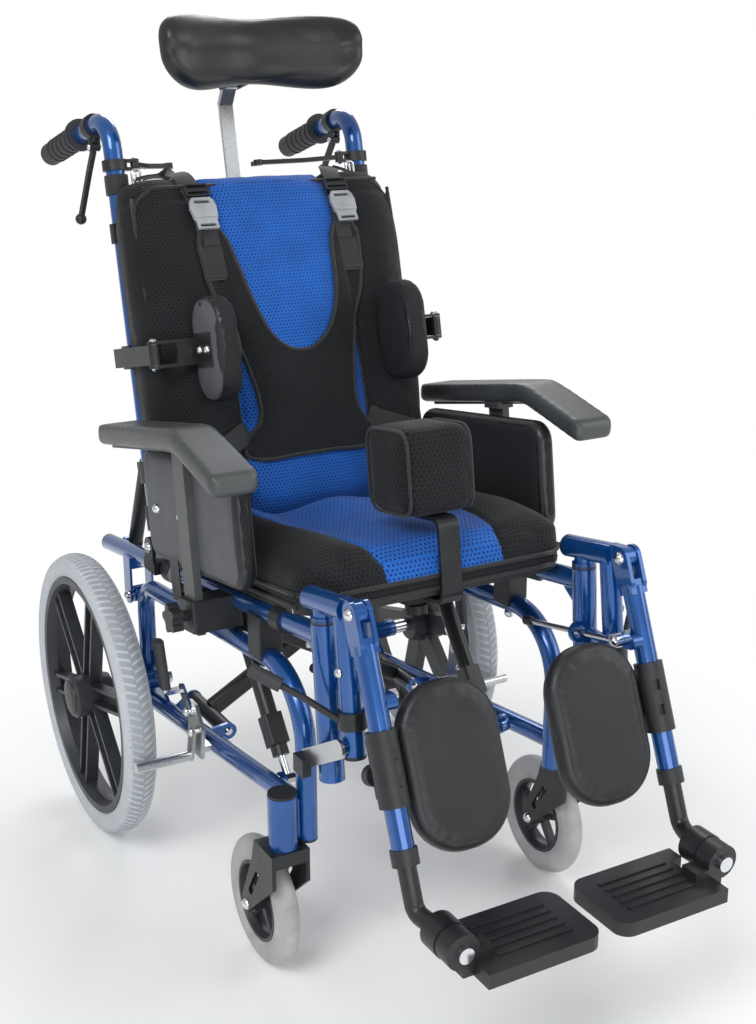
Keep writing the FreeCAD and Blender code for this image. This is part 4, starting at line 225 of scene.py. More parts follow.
def weave_height(recipe, pitch):
    """Three crossed cosines over the UV map: 1 on the yarn, 0 in the holes of a hexagonal net."""
    uv = recipe.node("ShaderNodeUVMap", uv_map="weave").outputs[0]
    waves = []
    for turn in (90, 210, 330):
        dot = recipe.node("ShaderNodeVectorMath", operation="DOT_PRODUCT")
        reach = 2 * math.pi / (pitch * MM)
        angle = math.radians(turn)
        dot.inputs[1].default_value = (reach * math.cos(angle), reach * math.sin(angle), 0)
        recipe.link(uv, dot.inputs[0])
        waves.append(recipe.math("COSINE", dot.outputs["Value"]))
    total = recipe.math("ADD", recipe.math("ADD", waves[0], waves[1]), waves[2])
    return recipe.ramp(total, 0.2, 2.2, 1, 0)


def net(name, yarn, hole, pitch=4.2, second=None, edge=0.0):
    """Spacer mesh fabric, with painted shade in its holes: the hole colour is darker than the yarn. With a
    second pair of colours, the panel attribute chooses between the two.
    """
    recipe = Recipe(name)
    height = weave_height(recipe, pitch)
    tone = recipe.ramp(recipe.noise(60, 3), 0.3, 0.7, 0.82, 1.12)
    # Painted shade: the holes of the net take the darker hole colour
    colour = recipe.mix(height, hole, yarn)
    if second:
        panel = recipe.node("ShaderNodeAttribute", attribute_name="panel").outputs["Fac"]
        inside = recipe.math("GREATER_THAN", panel, edge)
        # The blue net's holes take its darker hole colour, painted shade too
        colour = recipe.mix(inside, colour, recipe.mix(height, second[1], second[0]))
    scale = recipe.node("ShaderNodeVectorMath", operation="SCALE")
    recipe.link(colour, scale.inputs[0])
    recipe.link(tone, scale.inputs["Scale"])
    recipe.colour(scale.outputs[0])
    recipe.set(Roughness=0.82, Sheen_Weight=0.1, Sheen_Roughness=0.45)
    recipe.shader.inputs["Specular IOR Level"].default_value = 0.25
    recipe.bump(height, 0.75, 0.7)
    return recipe.material


def two_faced(name, yarn, hole, skin):
    """A pad's cover: net all round and a smooth coated panel where the panel attribute is high."""
    recipe = Recipe(name)
    height = weave_height(recipe, 4.2)
    panel = recipe.node("ShaderNodeAttribute", attribute_name="panel").outputs["Fac"]
    inside = recipe.math("GREATER_THAN", panel, 0.0)
    grain = recipe.noise(1.1, 4)
    cloudy = recipe.ramp(recipe.noise(30, 3), 0.3, 0.7, 0, 1)
    plain = recipe.mix(cloudy, tuple(v * 0.82 for v in skin), skin)
    # Painted shade: the holes of the net take the darker hole colour
    recipe.colour(recipe.mix(inside, recipe.mix(height, hole, yarn), plain))
    recipe.link(recipe.ramp(inside, 0, 1, 0.82, 0.55), recipe.shader.inputs["Roughness"])
    both = recipe.node("ShaderNodeMix", data_type="FLOAT")
    recipe.link(inside, both.inputs[0])
    recipe.link(height, both.inputs[2])
    recipe.link(recipe.math("MULTIPLY", grain, 0.3), both.inputs[3])
    recipe.bump(both.outputs[0], 0.7, 0.6)
    return recipe.material


def webbing(name, colour):
    """Woven strap: fine slanting ribs, with painted shade in the valleys between them."""
    recipe = Recipe(name)
    wave = recipe.node("ShaderNodeTexWave", wave_type="BANDS", bands_direction="DIAGONAL")
    wave.inputs["Scale"].default_value = 1.0 / (5.0 * MM)
    wave.inputs["Distortion"].default_value = 0.6
    recipe.link(recipe.coords(), wave.inputs["Vector"])
    height = wave.outputs["Fac"]
    # Painted shade: the valleys between the ribs are half as bright as the ribs
    recipe.colour(recipe.mix(height, tuple(v * 0.5 for v in colour), colour))
    recipe.set(Roughness=0.7, Sheen_Weight=0.2)
    recipe.bump(height, 0.6, 0.35)
    return recipe.material


def leathery(name, colour, rough, pore):
    """Skinned foam or coated cloth, with pores and soft wear."""
    recipe = Recipe(name)
    cells = recipe.node("ShaderNodeTexVoronoi", feature="DISTANCE_TO_EDGE")
    cells.inputs["Scale"].default_value = 1.0 / (pore * MM)
    recipe.link(recipe.coords(), cells.inputs["Vector"])
    crease = recipe.ramp(cells.outputs["Distance"], 0, 0.12, 0, 1)
    broad = recipe.noise(50, 4)
    low = tuple(v * 0.7 for v in colour)
    recipe.colour(recipe.mix(recipe.ramp(broad, 0.3, 0.7, 0, 1), low, colour))
    recipe.link(recipe.ramp(broad, 0.3, 0.7, rough - 0.06, rough + 0.08), recipe.shader.inputs["Roughness"])
    recipe.bump(crease, 0.22, 0.15)
    return recipe.material


def tyre_skin(name, colour, groove, radius, centre_z, centre_y):
    """Moulded tyre: paler walls, and darker at the foot of the tread, where the groove colour is painted
    shade between the tread blocks.
    """
    recipe = Recipe(name)
    offset = recipe.node("ShaderNodeVectorMath", operation="SUBTRACT")
    offset.inputs[1].default_value = (0, centre_y, centre_z)
    recipe.link(recipe.coords(), offset.inputs[0])
    flat = recipe.node("ShaderNodeVectorMath", operation="MULTIPLY")
    flat.inputs[1].default_value = (0, 1, 1)
    recipe.link(offset.outputs[0], flat.inputs[0])
    length = recipe.node("ShaderNodeVectorMath", operation="LENGTH")
    recipe.link(flat.outputs[0], length.inputs[0])
    tread = recipe.ramp(length.outputs["Value"], radius - 0.0008, radius + 0.0008, 0, 1)
    broad = recipe.ramp(recipe.noise(35, 4), 0.3, 0.7, 0, 1)
    wall = recipe.mix(broad, tuple(v * 0.9 for v in colour), colour)
    # Painted shade: beyond the tread's foot the crown takes the darker groove colour, standing in for shade
    # between the tread blocks
    recipe.colour(recipe.mix(tread, wall, groove))
    recipe.set(Roughness=0.62)
    recipe.bump(recipe.noise(1.5, 3), 0.3, 0.15)
    return recipe.material


# Yarn colours of the nets, and darker hole colours that are painted shade in the holes
BLACK_YARN, BLACK_HOLE_SHADE = (0.0105, 0.0115, 0.0135), (0.001, 0.0012, 0.0015)
BLUE_YARN, BLUE_HOLE_SHADE = (0.014, 0.112, 0.45), (0.002, 0.020, 0.13)
# Middle of the lit floor, and where it starts and ends to run out into white, in metres
FLOOR_CENTRE = (0.0, -0.1, 0.0)
FADE = (0.4, 1.0)
LOOKS = {
    "blue": painted("blue_lacquer", (0.001, 0.048, 0.23), (0.005, 0.118, 0.41), 0.55, 0.2),
    "black": coated("black_coat", (0.009, 0.010, 0.011), 0.34, 0.9, 0.08, 0.35),
    "plastic": coated("black_plastic", (0.011, 0.012, 0.0135), 0.42, 0.7, 0.1, 0.4),
    "wheel": coated("wheel_plastic", (0.020, 0.022, 0.026), 0.4, 1.0, 0.1, 0.35),
    "rubber": coated("grip_rubber", (0.026, 0.028, 0.031), 0.6, 0.6, 0.15, 0.5),
    "grey_plastic": coated("grey_plastic", (0.16, 0.17, 0.18), 0.45, 0.8, 0.1, 0.35),
    "buckle": coated("buckle_plastic", (0.30, 0.31, 0.33), 0.22, 1.2, 0.05, 0.2),
    "chrome": bare_metal("chrome_plate", (0.80, 0.81, 0.83), 0.08, False),
    "steel": bare_metal("brushed_steel", (0.62, 0.63, 0.64), 0.24, True),
    # The tyre's groove colour is painted shade between its tread blocks
    "tyre": tyre_skin("rear_tyre", (0.50, 0.53, 0.56), (0.33, 0.355, 0.385), 0.1985, 0.203, AXLE_Y),
    "tread": coated("tread_rubber", (0.45, 0.48, 0.51), 0.65, 1.2, 0.12, 0.3),
    "caster_tyre": coated("caster_rubber", (0.37, 0.37, 0.37), 0.55, 1.5, 0.1, 0.3),
    "back_net": net("back_net", BLACK_YARN, BLACK_HOLE_SHADE, 4.4, (BLUE_YARN, BLUE_HOLE_SHADE)),
    "seat_net": net("seat_net", BLACK_YARN, BLACK_HOLE_SHADE, 5.2, (BLUE_YARN, BLUE_HOLE_SHADE)),
    "vest_net": net("vest_net", (0.012, 0.013, 0.015), BLACK_HOLE_SHADE, 4.0),
    "pommel_net": net("pommel_net", BLACK_YARN, BLACK_HOLE_SHADE, 5.4),
    "pad_cover": two_faced("pad_cover", BLACK_YARN, BLACK_HOLE_SHADE, (0.088, 0.091, 0.102)),
    "piping": webbing("piping_braid", (0.012, 0.013, 0.015)),
    "strap": webbing("strap_webbing", (0.016, 0.017, 0.019)),
    "skin": leathery("black_skin", (0.011, 0.012, 0.014), 0.42, 1.6),
    "arm_skin": leathery("arm_skin", (0.062, 0.066, 0.069), 0.36, 1.3),
    "post": coated("post_coat", (0.055, 0.059, 0.060), 0.36, 0.9, 0.08, 0.35),
}


# CAD nodes keep their shape and take their looks by place
class Surface:
    """The polygons of a node in millimetres, turned to the +X side, with the solid each belongs to."""

    def __init__(self, node):
        mesh = NODES[node].data
        side = -1.0 if node.startswith("right_") else 1.0
        count = len(mesh.polygons)
        points = np.zeros(len(mesh.vertices) * 3, np.float32)
        mesh.vertices.foreach_get("co", points)
        points = points.reshape(-1, 3).astype(float)
        places = (points - np.array((0, AXLE_Y, 0))) / MM
        places[:, 0] *= side
        keys, number = np.unique(np.round(places * 50).astype(np.int64), axis=0, return_inverse=True)
        number = number.ravel()
        loops = np.zeros(len(mesh.loops), np.int32)
        mesh.loops.foreach_get("vertex_index", loops)
        corners = loops.reshape(count, -1)
        ids = number[corners]
        label = np.arange(len(keys))
        while True:
            before = label.copy()
            least = label[ids].min(axis=1)
            for column in range(ids.shape[1]):
                np.minimum.at(label, ids[:, column], least)
            label = label[label]
            if np.array_equal(before, label):
                break
        self.solid = label[ids[:, 0]]
        self.corners = places[corners]
        self.centre = self.corners.mean(axis=1)
        self.x, self.y, self.z = self.centre.T
        self.side = side
        self.low = np.zeros((count, 3))
        self.high = np.zeros((count, 3))
        for one in np.unique(self.solid):
            chosen = self.solid == one
            found = self.corners[chosen].reshape(-1, 3)
            self.low[chosen] = found.min(axis=0)
            self.high[chosen] = found.max(axis=0)
        self.size = self.high - self.low
        self.bulk = self.size.prod(axis=1)

    def largest(self):
        return self.bulk >= self.bulk.max() * 0.999


def dress(node, base, *rules):
    """Gives a node its base look, then each rule's look to the polygons that it picks."""
    held = NODES[node]
    held.data.materials.clear()
    looks = [base] + [look for look, pick in rules]
    for look in looks:
        held.data.materials.append(LOOKS[look])
    chosen = np.zeros(len(held.data.polygons), np.int32)
    if rules:
        surface = Surface(node)
        for index, (look, pick) in enumerate(rules, 1):
            chosen[pick(surface)] = index
    held.data.polygons.foreach_set("material_index", chosen)


def both_sides(name, base, *rules):
    for side in ("left_", "right_"):
        dress(side + name, base, *rules)


def off_line(surface, axis_z):
    """Distance of each polygon's middle from a tube whose height follows Y."""
    return np.hypot(surface.x - FRAME_X, surface.z - axis_z(surface.y))


def seat_z(y):
    return SEAT_TUBE_Z + (SEAT_TUBE_Y - y) * math.tan(math.radians(SEAT_PITCH))


both_sides(
    "base_frame", "blue",
    ("plastic", lambda s: ~s.largest()),
    ("steel", lambda s: (s.x > FRAME_X + 13) & (s.y > -260) & (s.y < -170) & (s.z > 172)),
)
both_sides(
    "rear_wheel", "wheel",
    ("tyre", lambda s: s.size[:, 2] > 400),
    ("plastic", lambda s: s.size[:, 2] < 60),
)
both_sides("caster_wheel", "wheel", ("caster_tyre", lambda s: s.size[:, 2] > 150))
both_sides("caster_fork", "black", ("chrome", lambda s: ~s.largest()))
both_sides("lock_lever", "chrome", ("rubber", lambda s: s.low[:, 2] > 262))
both_sides("lock_shoe", "steel")
both_sides(
    "seat_frame", "blue",
    ("black", lambda s: (np.abs(s.y - RECLINE_Y) < 24) & (off_line(s, seat_z) > 13.4)),
    ("plastic", lambda s: ~s.largest() & (s.low[:, 1] > 150)),
    ("chrome", lambda s: ~s.largest() & (s.high[:, 1] < 150.5)),
)
both_sides("armrest", "post")
both_sides("elevation_rod", "chrome", ("plastic", lambda s: s.size[:, 1] < 25))
both_sides("trunk_pad", "black", ("chrome", lambda s: s.size.max(axis=1) < 50))
both_sides("brake_lever", "plastic")
both_sides(
    "hanger", "blue",
    ("plastic", lambda s: s.largest() & (s.z > 481.9) & (s.z < 487.5) & (s.y > -565)),
    ("steel", lambda s: s.largest() & (s.x > 195.5)),
    ("plastic", lambda s: ~s.largest() & (s.size[:, 0] > 10)),
    ("chrome", lambda s: ~s.largest() & (s.low[:, 2] > 505) & (s.high[:, 1] < -600)),
    ("chrome", lambda s: ~s.largest() & (s.size[:, 1] < 16) & (s.low[:, 2] > 430) & (s.low[:, 2] < 450)),
)
both_sides("release_lever", "black", ("rubber", lambda s: ~s.largest()))
both_sides(
    "legrest", "blue",
    ("chrome", lambda s: ~s.largest() & (s.low[:, 2] > 400)),
    ("plastic", lambda s: ~s.largest() & (s.low[:, 2] < 400)),
)
both_sides("calf_pad", "plastic")
both_sides("foot_tube", "black", ("chrome", lambda s: s.size[:, 1] < 10))
both_sides("footplate", "plastic")
dress("cross_braces", "black")
dress("rail_saddles", "plastic")
dress("frame_bolts", "chrome")
dress(
    "seat_tube_boots", "plastic",
    ("grey_plastic", lambda s: (s.y > -137) & (s.y < -110.8)),
)
dress("tilt_cylinders", "black")
dress("tilt_rods", "chrome")
dress("recline_cylinders", "black")
dress("recline_rods", "chrome")
dress("seat_board", "plastic", ("chrome", lambda s: s.size.max(axis=1) < 9))
dress("armrest_clamps", "plastic")
dress("hip_supports", "black", ("chrome", lambda s: s.size.max(axis=1) < 20))
dress("pommel_bracket", "black")
dress("back_canes", "blue")
dress("push_grips", "rubber")
dress("headrest_crossbar", "black", ("plastic", lambda s: ~s.largest()))
dress("headrest_post", "steel", ("chrome", lambda s: ~s.largest()))
dress("headrest_pad", "black")
dress("trunk_brackets", "black")
dress("lever_clamps", "plastic", ("chrome", lambda s: s.size.max(axis=1) < 24))
dress("tilt_lever", "plastic")
dress("recline_lever", "plastic")
for node in ("seat_cushion", "back_cushion", "vest", "pommel_block", "cables"):
    dress(node, "plastic")


# Mesh helpers
def add(name, mesh, look, body, smooth=True):
    """Puts a mesh or curve in the scene as a piece that rides on a body."""
    made = bpy.data.objects.new(name, mesh)
    bpy.context.scene.collection.objects.link(made)
    mesh.materials.clear()
    mesh.materials.append(LOOKS[look])
    if smooth and hasattr(mesh, "polygons"):
        mesh.polygons.foreach_set("use_smooth", [True] * len(mesh.polygons))
    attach(made, body)
    return made


def settle(made):
    """Applies every modifier of a piece."""
    graph = bpy.context.evaluated_depsgraph_get()
    mesh = bpy.data.meshes.new_from_object(made.evaluated_get(graph))
    made.modifiers.clear()
    made.data = mesh
    return made


def coordinates(mesh):
    found = np.zeros(len(mesh.vertices) * 3, np.float32)
    mesh.vertices.foreach_get("co", found)
    return found.reshape(-1, 3).astype(float)


def put(mesh, points):
    mesh.vertices.foreach_set("co", points.astype(np.float32).ravel())
    mesh.update()


def normals(mesh):
    found = np.zeros(len(mesh.vertices) * 3, np.float32)
    mesh.vertices.foreach_get("normal", found)
    return found.reshape(-1, 3).astype(float)


def local(matrix, points):
    """Row-frame points in a leaning frame's millimetres."""
    back = np.array(matrix.inverted())
    return points @ back[:3, :3].T + back[:3, 3]


def taken(node, pick):
    """A mesh with the polygons of a node that a rule picks, in the row frame."""
    surface = Surface(node)
    corners = surface.corners[pick(surface)]
    corners[:, :, 0] *= surface.side
    points = corners.reshape(-1, 3) * MM + np.array((0, AXLE_Y, 0))
    faces = np.arange(len(points)).reshape(-1, corners.shape[1])
    mesh = bpy.data.meshes.new("taken")
    mesh.from_pydata(points.tolist(), [], faces.tolist())
    work = bmesh.new()
    work.from_mesh(mesh)
    bmesh.ops.remove_doubles(work, verts=work.verts, dist=2e-5)
    bmesh.ops.recalc_face_normals(work, faces=work.faces)
    work.to_mesh(mesh)
    work.free()
    return mesh


def remeshed(made, voxel):
    change = made.modifiers.new("remesh", "REMESH")
    change.mode = "VOXEL"
    change.voxel_size = voxel * MM
    return settle(made)


def swollen(made, pressure, cap, frames=16, pinned=None):
    """Cloth under pressure from inside, with the travel of each point capped, then applied."""
    rest = coordinates(made.data)
    if pinned is not None:
        group = made.vertex_groups.new(name="held")
        group.add([int(i) for i in np.nonzero(pinned(rest))[0]], 1.0, "REPLACE")
    cloth = made.modifiers.new("cloth", "CLOTH")
    cloth.settings.quality = 4
    cloth.settings.use_pressure = True
    cloth.settings.uniform_pressure_force = pressure
    cloth.settings.effector_weights.gravity = 0.0
    if pinned is not None:
        cloth.settings.vertex_group_mass = "held"
    scene = bpy.context.scene
    for number in range(1, frames + 1):
        scene.frame_set(number)
    graph = bpy.context.evaluated_depsgraph_get()
    moved = coordinates(made.evaluated_get(graph).data)
    scene.frame_set(1)
    made.modifiers.clear()
    travel = moved - rest
    length = np.linalg.norm(travel, axis=1, keepdims=True)
    put(made.data, rest + travel * np.minimum(1, cap * MM / np.maximum(length, 1e-9)))
    return made


def relaxed(made, turns, factor=0.5):
    change = made.modifiers.new("smooth", "SMOOTH")
    change.iterations = turns
    change.factor = factor
    return settle(made)


def divided(made):
    change = made.modifiers.new("divide", "SUBSURF")
    change.levels = 1
    change.render_levels = 1
    return settle(made)


def woven(made, matrix):
    """A UV map in metres for the weave, projected along the axis that each face looks along most."""
    mesh = made.data
    points = local(matrix, coordinates(mesh)) * MM
    mesh.update()
    loops = np.zeros(len(mesh.loops), np.int32)
    mesh.loops.foreach_get("vertex_index", loops)
    facing = np.zeros(len(mesh.polygons) * 3, np.float32)
    mesh.polygons.foreach_get("normal", facing)
    facing = facing.reshape(-1, 3) @ (np.array(matrix)[:3, :3] / MM)
    axis = np.abs(facing * np.array((1.0, 1.15, 1.15))).argmax(axis=1)
    totals = np.zeros(len(mesh.polygons), np.int32)
    mesh.polygons.foreach_get("loop_total", totals)
    axis = np.repeat(axis, totals)
    spot = points[loops]
    level = np.where((axis == 1)[:, None], spot[:, (0, 2)], spot[:, (0, 1)])
    flat = np.where((axis == 0)[:, None], spot[:, (1, 2)], level)
    layer = mesh.uv_layers.new(name="weave")
    layer.data.foreach_set("uv", flat.astype(np.float32).ravel())


def panelled(made, values):
    layer = made.data.attributes.new("panel", "FLOAT", "POINT")
    layer.data.foreach_set("value", np.asarray(values, np.float32))


def smooth_path(points, closed=False, step=3.0):
    """A Catmull-Rom line through points, sampled about every step."""
    spots = [Vector(p) for p in points]
    count = len(spots)
    runs = count if closed else count - 1
    found = []
    for index in range(runs):
        if closed:
            a, b, c, d = (spots[(index + k) % count] for k in (-1, 0, 1, 2))
        else:
            a, b = spots[max(index - 1, 0)], spots[index]
            c, d = spots[index + 1], spots[min(index + 2, count - 1)]
        pieces = max(1, int(round((c - b).length / step)))
        for part in range(pieces):
            t = part / pieces
            square = (2 * a - 5 * b + 4 * c - d) * t * t
            cube = (3 * b - a - 3 * c + d) * t ** 3
            found.append(0.5 * (2 * b + (c - a) * t + square + cube))
    if not closed:
        found.append(spots[-1])
    return found


def cord_mesh(points, radius, closed, sides=8):
    """A round cord along points, as lists of corners and faces."""
    count = len(points)
    corners, faces = [], []
    side = None
    for index, point in enumerate(points):
        before = points[index - 1] if (closed or index) else points[0]
        after = points[(index + 1) % count] if (closed or index < count - 1) else points[-1]
        way = (after - before).normalized()
        if side is None:
            side = way.orthogonal().normalized()
        side = (side - way * side.dot(way)).normalized()
        across = way.cross(side)
        for turn in range(sides):
            angle = 2 * math.pi * turn / sides
            corners.append(point + (side * math.cos(angle) + across * math.sin(angle)) * radius)
    for index in range(count if closed else count - 1):
        here, there = index * sides, (index + 1) % count * sides
        for turn in range(sides):
            other = (turn + 1) % sides
            faces.append((here + turn, here + other, there + other, there + turn))
    if not closed:
        faces.append(tuple(reversed(range(sides))))
        faces.append(tuple(range((count - 1) * sides, count * sides)))
    return corners, faces


def piping(name, points, matrix, body, radius=2.6, closed=True, look="piping"):
    corners, faces = cord_mesh(smooth_path(points, closed, 5.0), radius, closed)
    mesh = bpy.data.meshes.new(name)
    mesh.from_pydata([matrix @ corner for corner in corners], [], faces)
    return add(name, mesh, look, body)


def round_loop(low_a, low_b, high_a, high_b, corner, steps=6):
    """The outline of a rectangle with round corners, as pairs."""
    found = []
    for centre_a, centre_b, start in (
        (high_a - corner, high_b - corner, 0), (low_a + corner, high_b - corner, 90),
        (low_a + corner, low_b + corner, 180), (high_a - corner, low_b + corner, 270),
    ):
        for step in range(steps + 1):
            angle = math.radians(start + 90 * step / steps)
            found.append((centre_a + corner * math.cos(angle), centre_b + corner * math.sin(angle)))
    return found


def ribbon(name, points, sides, width, thickness, matrix, body, look="strap"):
    """A flat strap along points. Each point has its own sideways vector."""
    path = smooth_path(points, False, 6.0)
    share = [index * (len(sides) - 1) / (len(path) - 1) for index in range(len(path))]
    corners, faces = [], []
    section = (
        (-0.5, -0.3), (-0.46, -0.5), (0.46, -0.5), (0.5, -0.3),
        (0.5, 0.3), (0.46, 0.5), (-0.46, 0.5), (-0.5, 0.3),
    )
    for index, point in enumerate(path):
        before, after = path[max(index - 1, 0)], path[min(index + 1, len(path) - 1)]
        way = (after - before).normalized()
        low = int(share[index])
        high = min(low + 1, len(sides) - 1)
        side = Vector(sides[low]).lerp(Vector(sides[high]), share[index] - low)
        side = (side - way * side.dot(way)).normalized()
        up = side.cross(way)
        for a, b in section:
            corners.append(point + side * a * width + up * b * thickness)
    size = len(section)
    for index in range(len(path) - 1):
        for turn in range(size):
            other = (turn + 1) % size
            here, there = index * size, (index + 1) * size
            faces.append((here + turn, here + other, there + other, there + turn))
    faces.append(tuple(range(size)))
    faces.append(tuple(reversed(range(len(corners) - size, len(corners)))))
    mesh = bpy.data.meshes.new(name)
    mesh.from_pydata([matrix @ corner for corner in corners], [], faces)
    return add(name, mesh, look, body)


def slab(name, outline, thickness, origin, right, up, matrix, body, look, bevel=1.2, holes=()):
    """A flat moulded piece: an outline raised to a thickness, holes cut through, edges rounded."""
    right, up = Vector(right).normalized(), Vector(up).normalized()
    out = right.cross(up)
    work = bmesh.new()
    rings = [outline] + list(holes)
    edges = []
    for ring in rings:
        spots = [work.verts.new(Vector(origin) + right * a + up * b) for a, b in ring]
        for index, spot in enumerate(spots):
            edges.append(work.edges.new((spot, spots[(index + 1) % len(spots)])))
    bmesh.ops.triangle_fill(work, edges=edges, use_beauty=True, normal=out)
    made = bmesh.ops.extrude_face_region(work, geom=work.faces[:])
    moved = [item for item in made["geom"] if isinstance(item, bmesh.types.BMVert)]
    bmesh.ops.translate(work, verts=moved, vec=out * thickness)
    bmesh.ops.recalc_face_normals(work, faces=work.faces)
    work.transform(matrix)
    mesh = bpy.data.meshes.new(name)
    work.to_mesh(mesh)
    work.free()
    piece = add(name, mesh, look, body, smooth=False)
    rounding = piece.modifiers.new("edges", "BEVEL")
    rounding.width = bevel * MM
    rounding.segments = 2
    rounding.angle_limit = math.radians(40)
    return settle(piece)


def cover(
    name, node, pick, look, body, matrix,
    voxel=4.0, proud=0.9, panel=None, pressure=3.0, cap=2.0,
):
    """Upholstery over a soft solid of a node: remeshed, swollen and a little proud of it."""
    made = add(name, taken(node, pick), look, body)
    remeshed(made, voxel)
    relaxed(made, 4)
    swollen(made, pressure, cap, 12)
    mesh = made.data
    put(mesh, coordinates(mesh) + normals(mesh) * proud * MM)
    divided(made)
    if panel is not None:
        panelled(made, panel(local(matrix, coordinates(made.data))))
    woven(made, matrix)
    return made


# Back cushion: bolsters of black net round a blue middle, with a sewn channel between them
SEAM_X = 96.0
back_piece = add("back_upholstery", taken("back_cushion", lambda s: s.z > -1e9), "back_net", "back")
remeshed(back_piece, 6.0)
relaxed(back_piece, 3)
swollen(back_piece, 3.0, 4.0, 14)
divided(back_piece)
spots = local(BACK, coordinates(back_piece.data))
ways = normals(back_piece.data)
front = np.clip((-20 - spots[:, 1]) / 30, 0, 1)
groove = np.exp(-(((np.abs(spots[:, 0]) - SEAM_X) / 6.5) ** 2)) * front
swell = np.exp(-(((np.abs(spots[:, 0]) - 150) / 36) ** 2)) * front * 5.0
top_groove = np.exp(-(((spots[:, 2] - (BACK_TOP - 30)) / 5) ** 2)) * front * 2.0
travel = (swell - groove * 6.0 - top_groove) * MM
put(back_piece.data, coordinates(back_piece.data) + ways * travel[:, None])
spots = local(BACK, coordinates(back_piece.data))
panelled(back_piece, np.minimum(SEAM_X - np.abs(spots[:, 0]), -30 - spots[:, 1]))
woven(back_piece, BACK)
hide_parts("back_cushion")

polygons = [tuple(p.vertices) for p in back_piece.data.polygons]
back_tree = BVHTree.FromPolygons([Vector(p) for p in spots], polygons)


def on_back(x, height, lift):
    """A place on the front of the back cushion, in the back's own frame."""
    found = back_tree.ray_cast(Vector((x, -400, height)), Vector((0, 1, 0)))[0]
    rearward = found.y if found else -60.0
    return Vector((x, rearward - lift, height))


# Piping round the front edge of the back, and along the two channels
edge = []
for x, height in round_loop(-BACK_HALF + 9, 26, BACK_HALF - 9, BACK_TOP - 12, 44, 5):
    edge.append((x, height))
outline = []
for x, height in edge:
    place = on_back(x * 0.985, height, 0.5)
    outline.append(place)
piping("back_piping", outline, BACK, "back", 2.6)
for side in (-1, 1):
    seam = [on_back(side * SEAM_X, height, -0.2) for height in range(30, int(BACK_TOP) - 20, 30)]
    piping("back_seam_" + ("right" if side < 0 else "left"), seam, BACK, "back", 1.6, closed=False)

# Seat cushion: black thigh patches with a blue middle
seat_piece = add("seat_upholstery", taken("seat_cushion", lambda s: s.z > -1e9), "seat_net", "seat")
remeshed(seat_piece, 5.0)
relaxed(seat_piece, 3)
swollen(seat_piece, 3.0, 3.0, 14, pinned=lambda p: local(SEAT, p)[:, 2] < 24)
divided(seat_piece)
spots = local(SEAT, coordinates(seat_piece.data))
patch_y = np.array((-540, -517, -436, -367, -320, -286, -262, -250, -240.0))
patch_x = np.array((76, 80, 97, 108, 121, 137, 162, 190, 260.0))


def blue_share(points):
    """Distance into the blue middle of the seat, in millimetres."""
    return np.interp(points[:, 1], patch_y, patch_x) - np.abs(points[:, 0])


share = blue_share(spots)
ways = normals(seat_piece.data)
upper = np.clip((spots[:, 2] - 34) / 14, 0, 1)
travel = -np.exp(-((share / 4.5) ** 2)) * upper * 3.0 + np.exp(-(((share + 28) / 20) ** 2)) * upper * 3.0
put(seat_piece.data, coordinates(seat_piece.data) + ways * (travel * MM)[:, None])
spots = local(SEAT, coordinates(seat_piece.data))
panelled(seat_piece, np.minimum(blue_share(spots), (spots[:, 2] - 38) * 1.0))
woven(seat_piece, SEAT)
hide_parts("seat_cushion")
for index, (height, grow) in enumerate(((21.5, -1.5), (37.0, 1.2))):
    loop = [
        (x, y, height)
        for x, y in round_loop(-184 - grow, -517 - grow, 184 + grow, -197 + grow, 52, 6)
    ]
    piping("seat_piping_%d" % (index + 1), loop, SEAT, "seat", 2.6)

# Pommel: a block of net with piped edges
pommel = cover(
    "pommel_upholstery", "pommel_block", lambda s: s.z > -1e9, "pommel_net", "pommel", SEAT,
    voxel=4.5, proud=0.3, pressure=4.0, cap=3.0,
)
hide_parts("pommel_block")
for index, x in enumerate((-43.0, 43.0)):
    loop = [(x, y, z) for y, z in round_loop(-515.5, 109, -420.5, 209, 19, 5)]
    piping("pommel_piping_%d" % (index + 1), loop, SEAT, "pommel", 1.9)

# Headrest: a smooth skinned bean
cover(
    "headrest_skin", "headrest_pad", lambda s: s.largest(), "skin", "headrest_pad", BACK,
    voxel=4.0, proud=0.6, cap=1.5,
)

# Arm pads: the skin lies just outside the CAD pad, which is crossed by its metal strip
ARM_X, ARM_WIDTH, ARM_HALF = 247.0, 58.8, 13.4
ARM_REAR, ARM_KNEE, ARM_TIP = Vector((-84.6, 606.0)), Vector((-342.0, 657.0)), Vector((-465.4, 629.0))
ARM_BEND = 12.8
ARM_ROUNDING = 8.0


def arm_outline():
    """Side outline of an arm pad in Y and Z: a bar with a crank near its front."""
    start = ARM_KNEE + (ARM_REAR - ARM_KNEE).normalized() * ARM_BEND
    end = ARM_KNEE + (ARM_TIP - ARM_KNEE).normalized() * ARM_BEND
    middle = [start.lerp(ARM_KNEE, t).lerp(ARM_KNEE.lerp(end, t), t) for t in (0, 0.25, 0.5, 0.75, 1)]
    line = [ARM_REAR] + middle + [ARM_TIP]
    return [(y, z + ARM_HALF) for y, z in line] + [(y, z - ARM_HALF) for y, z in reversed(line)]


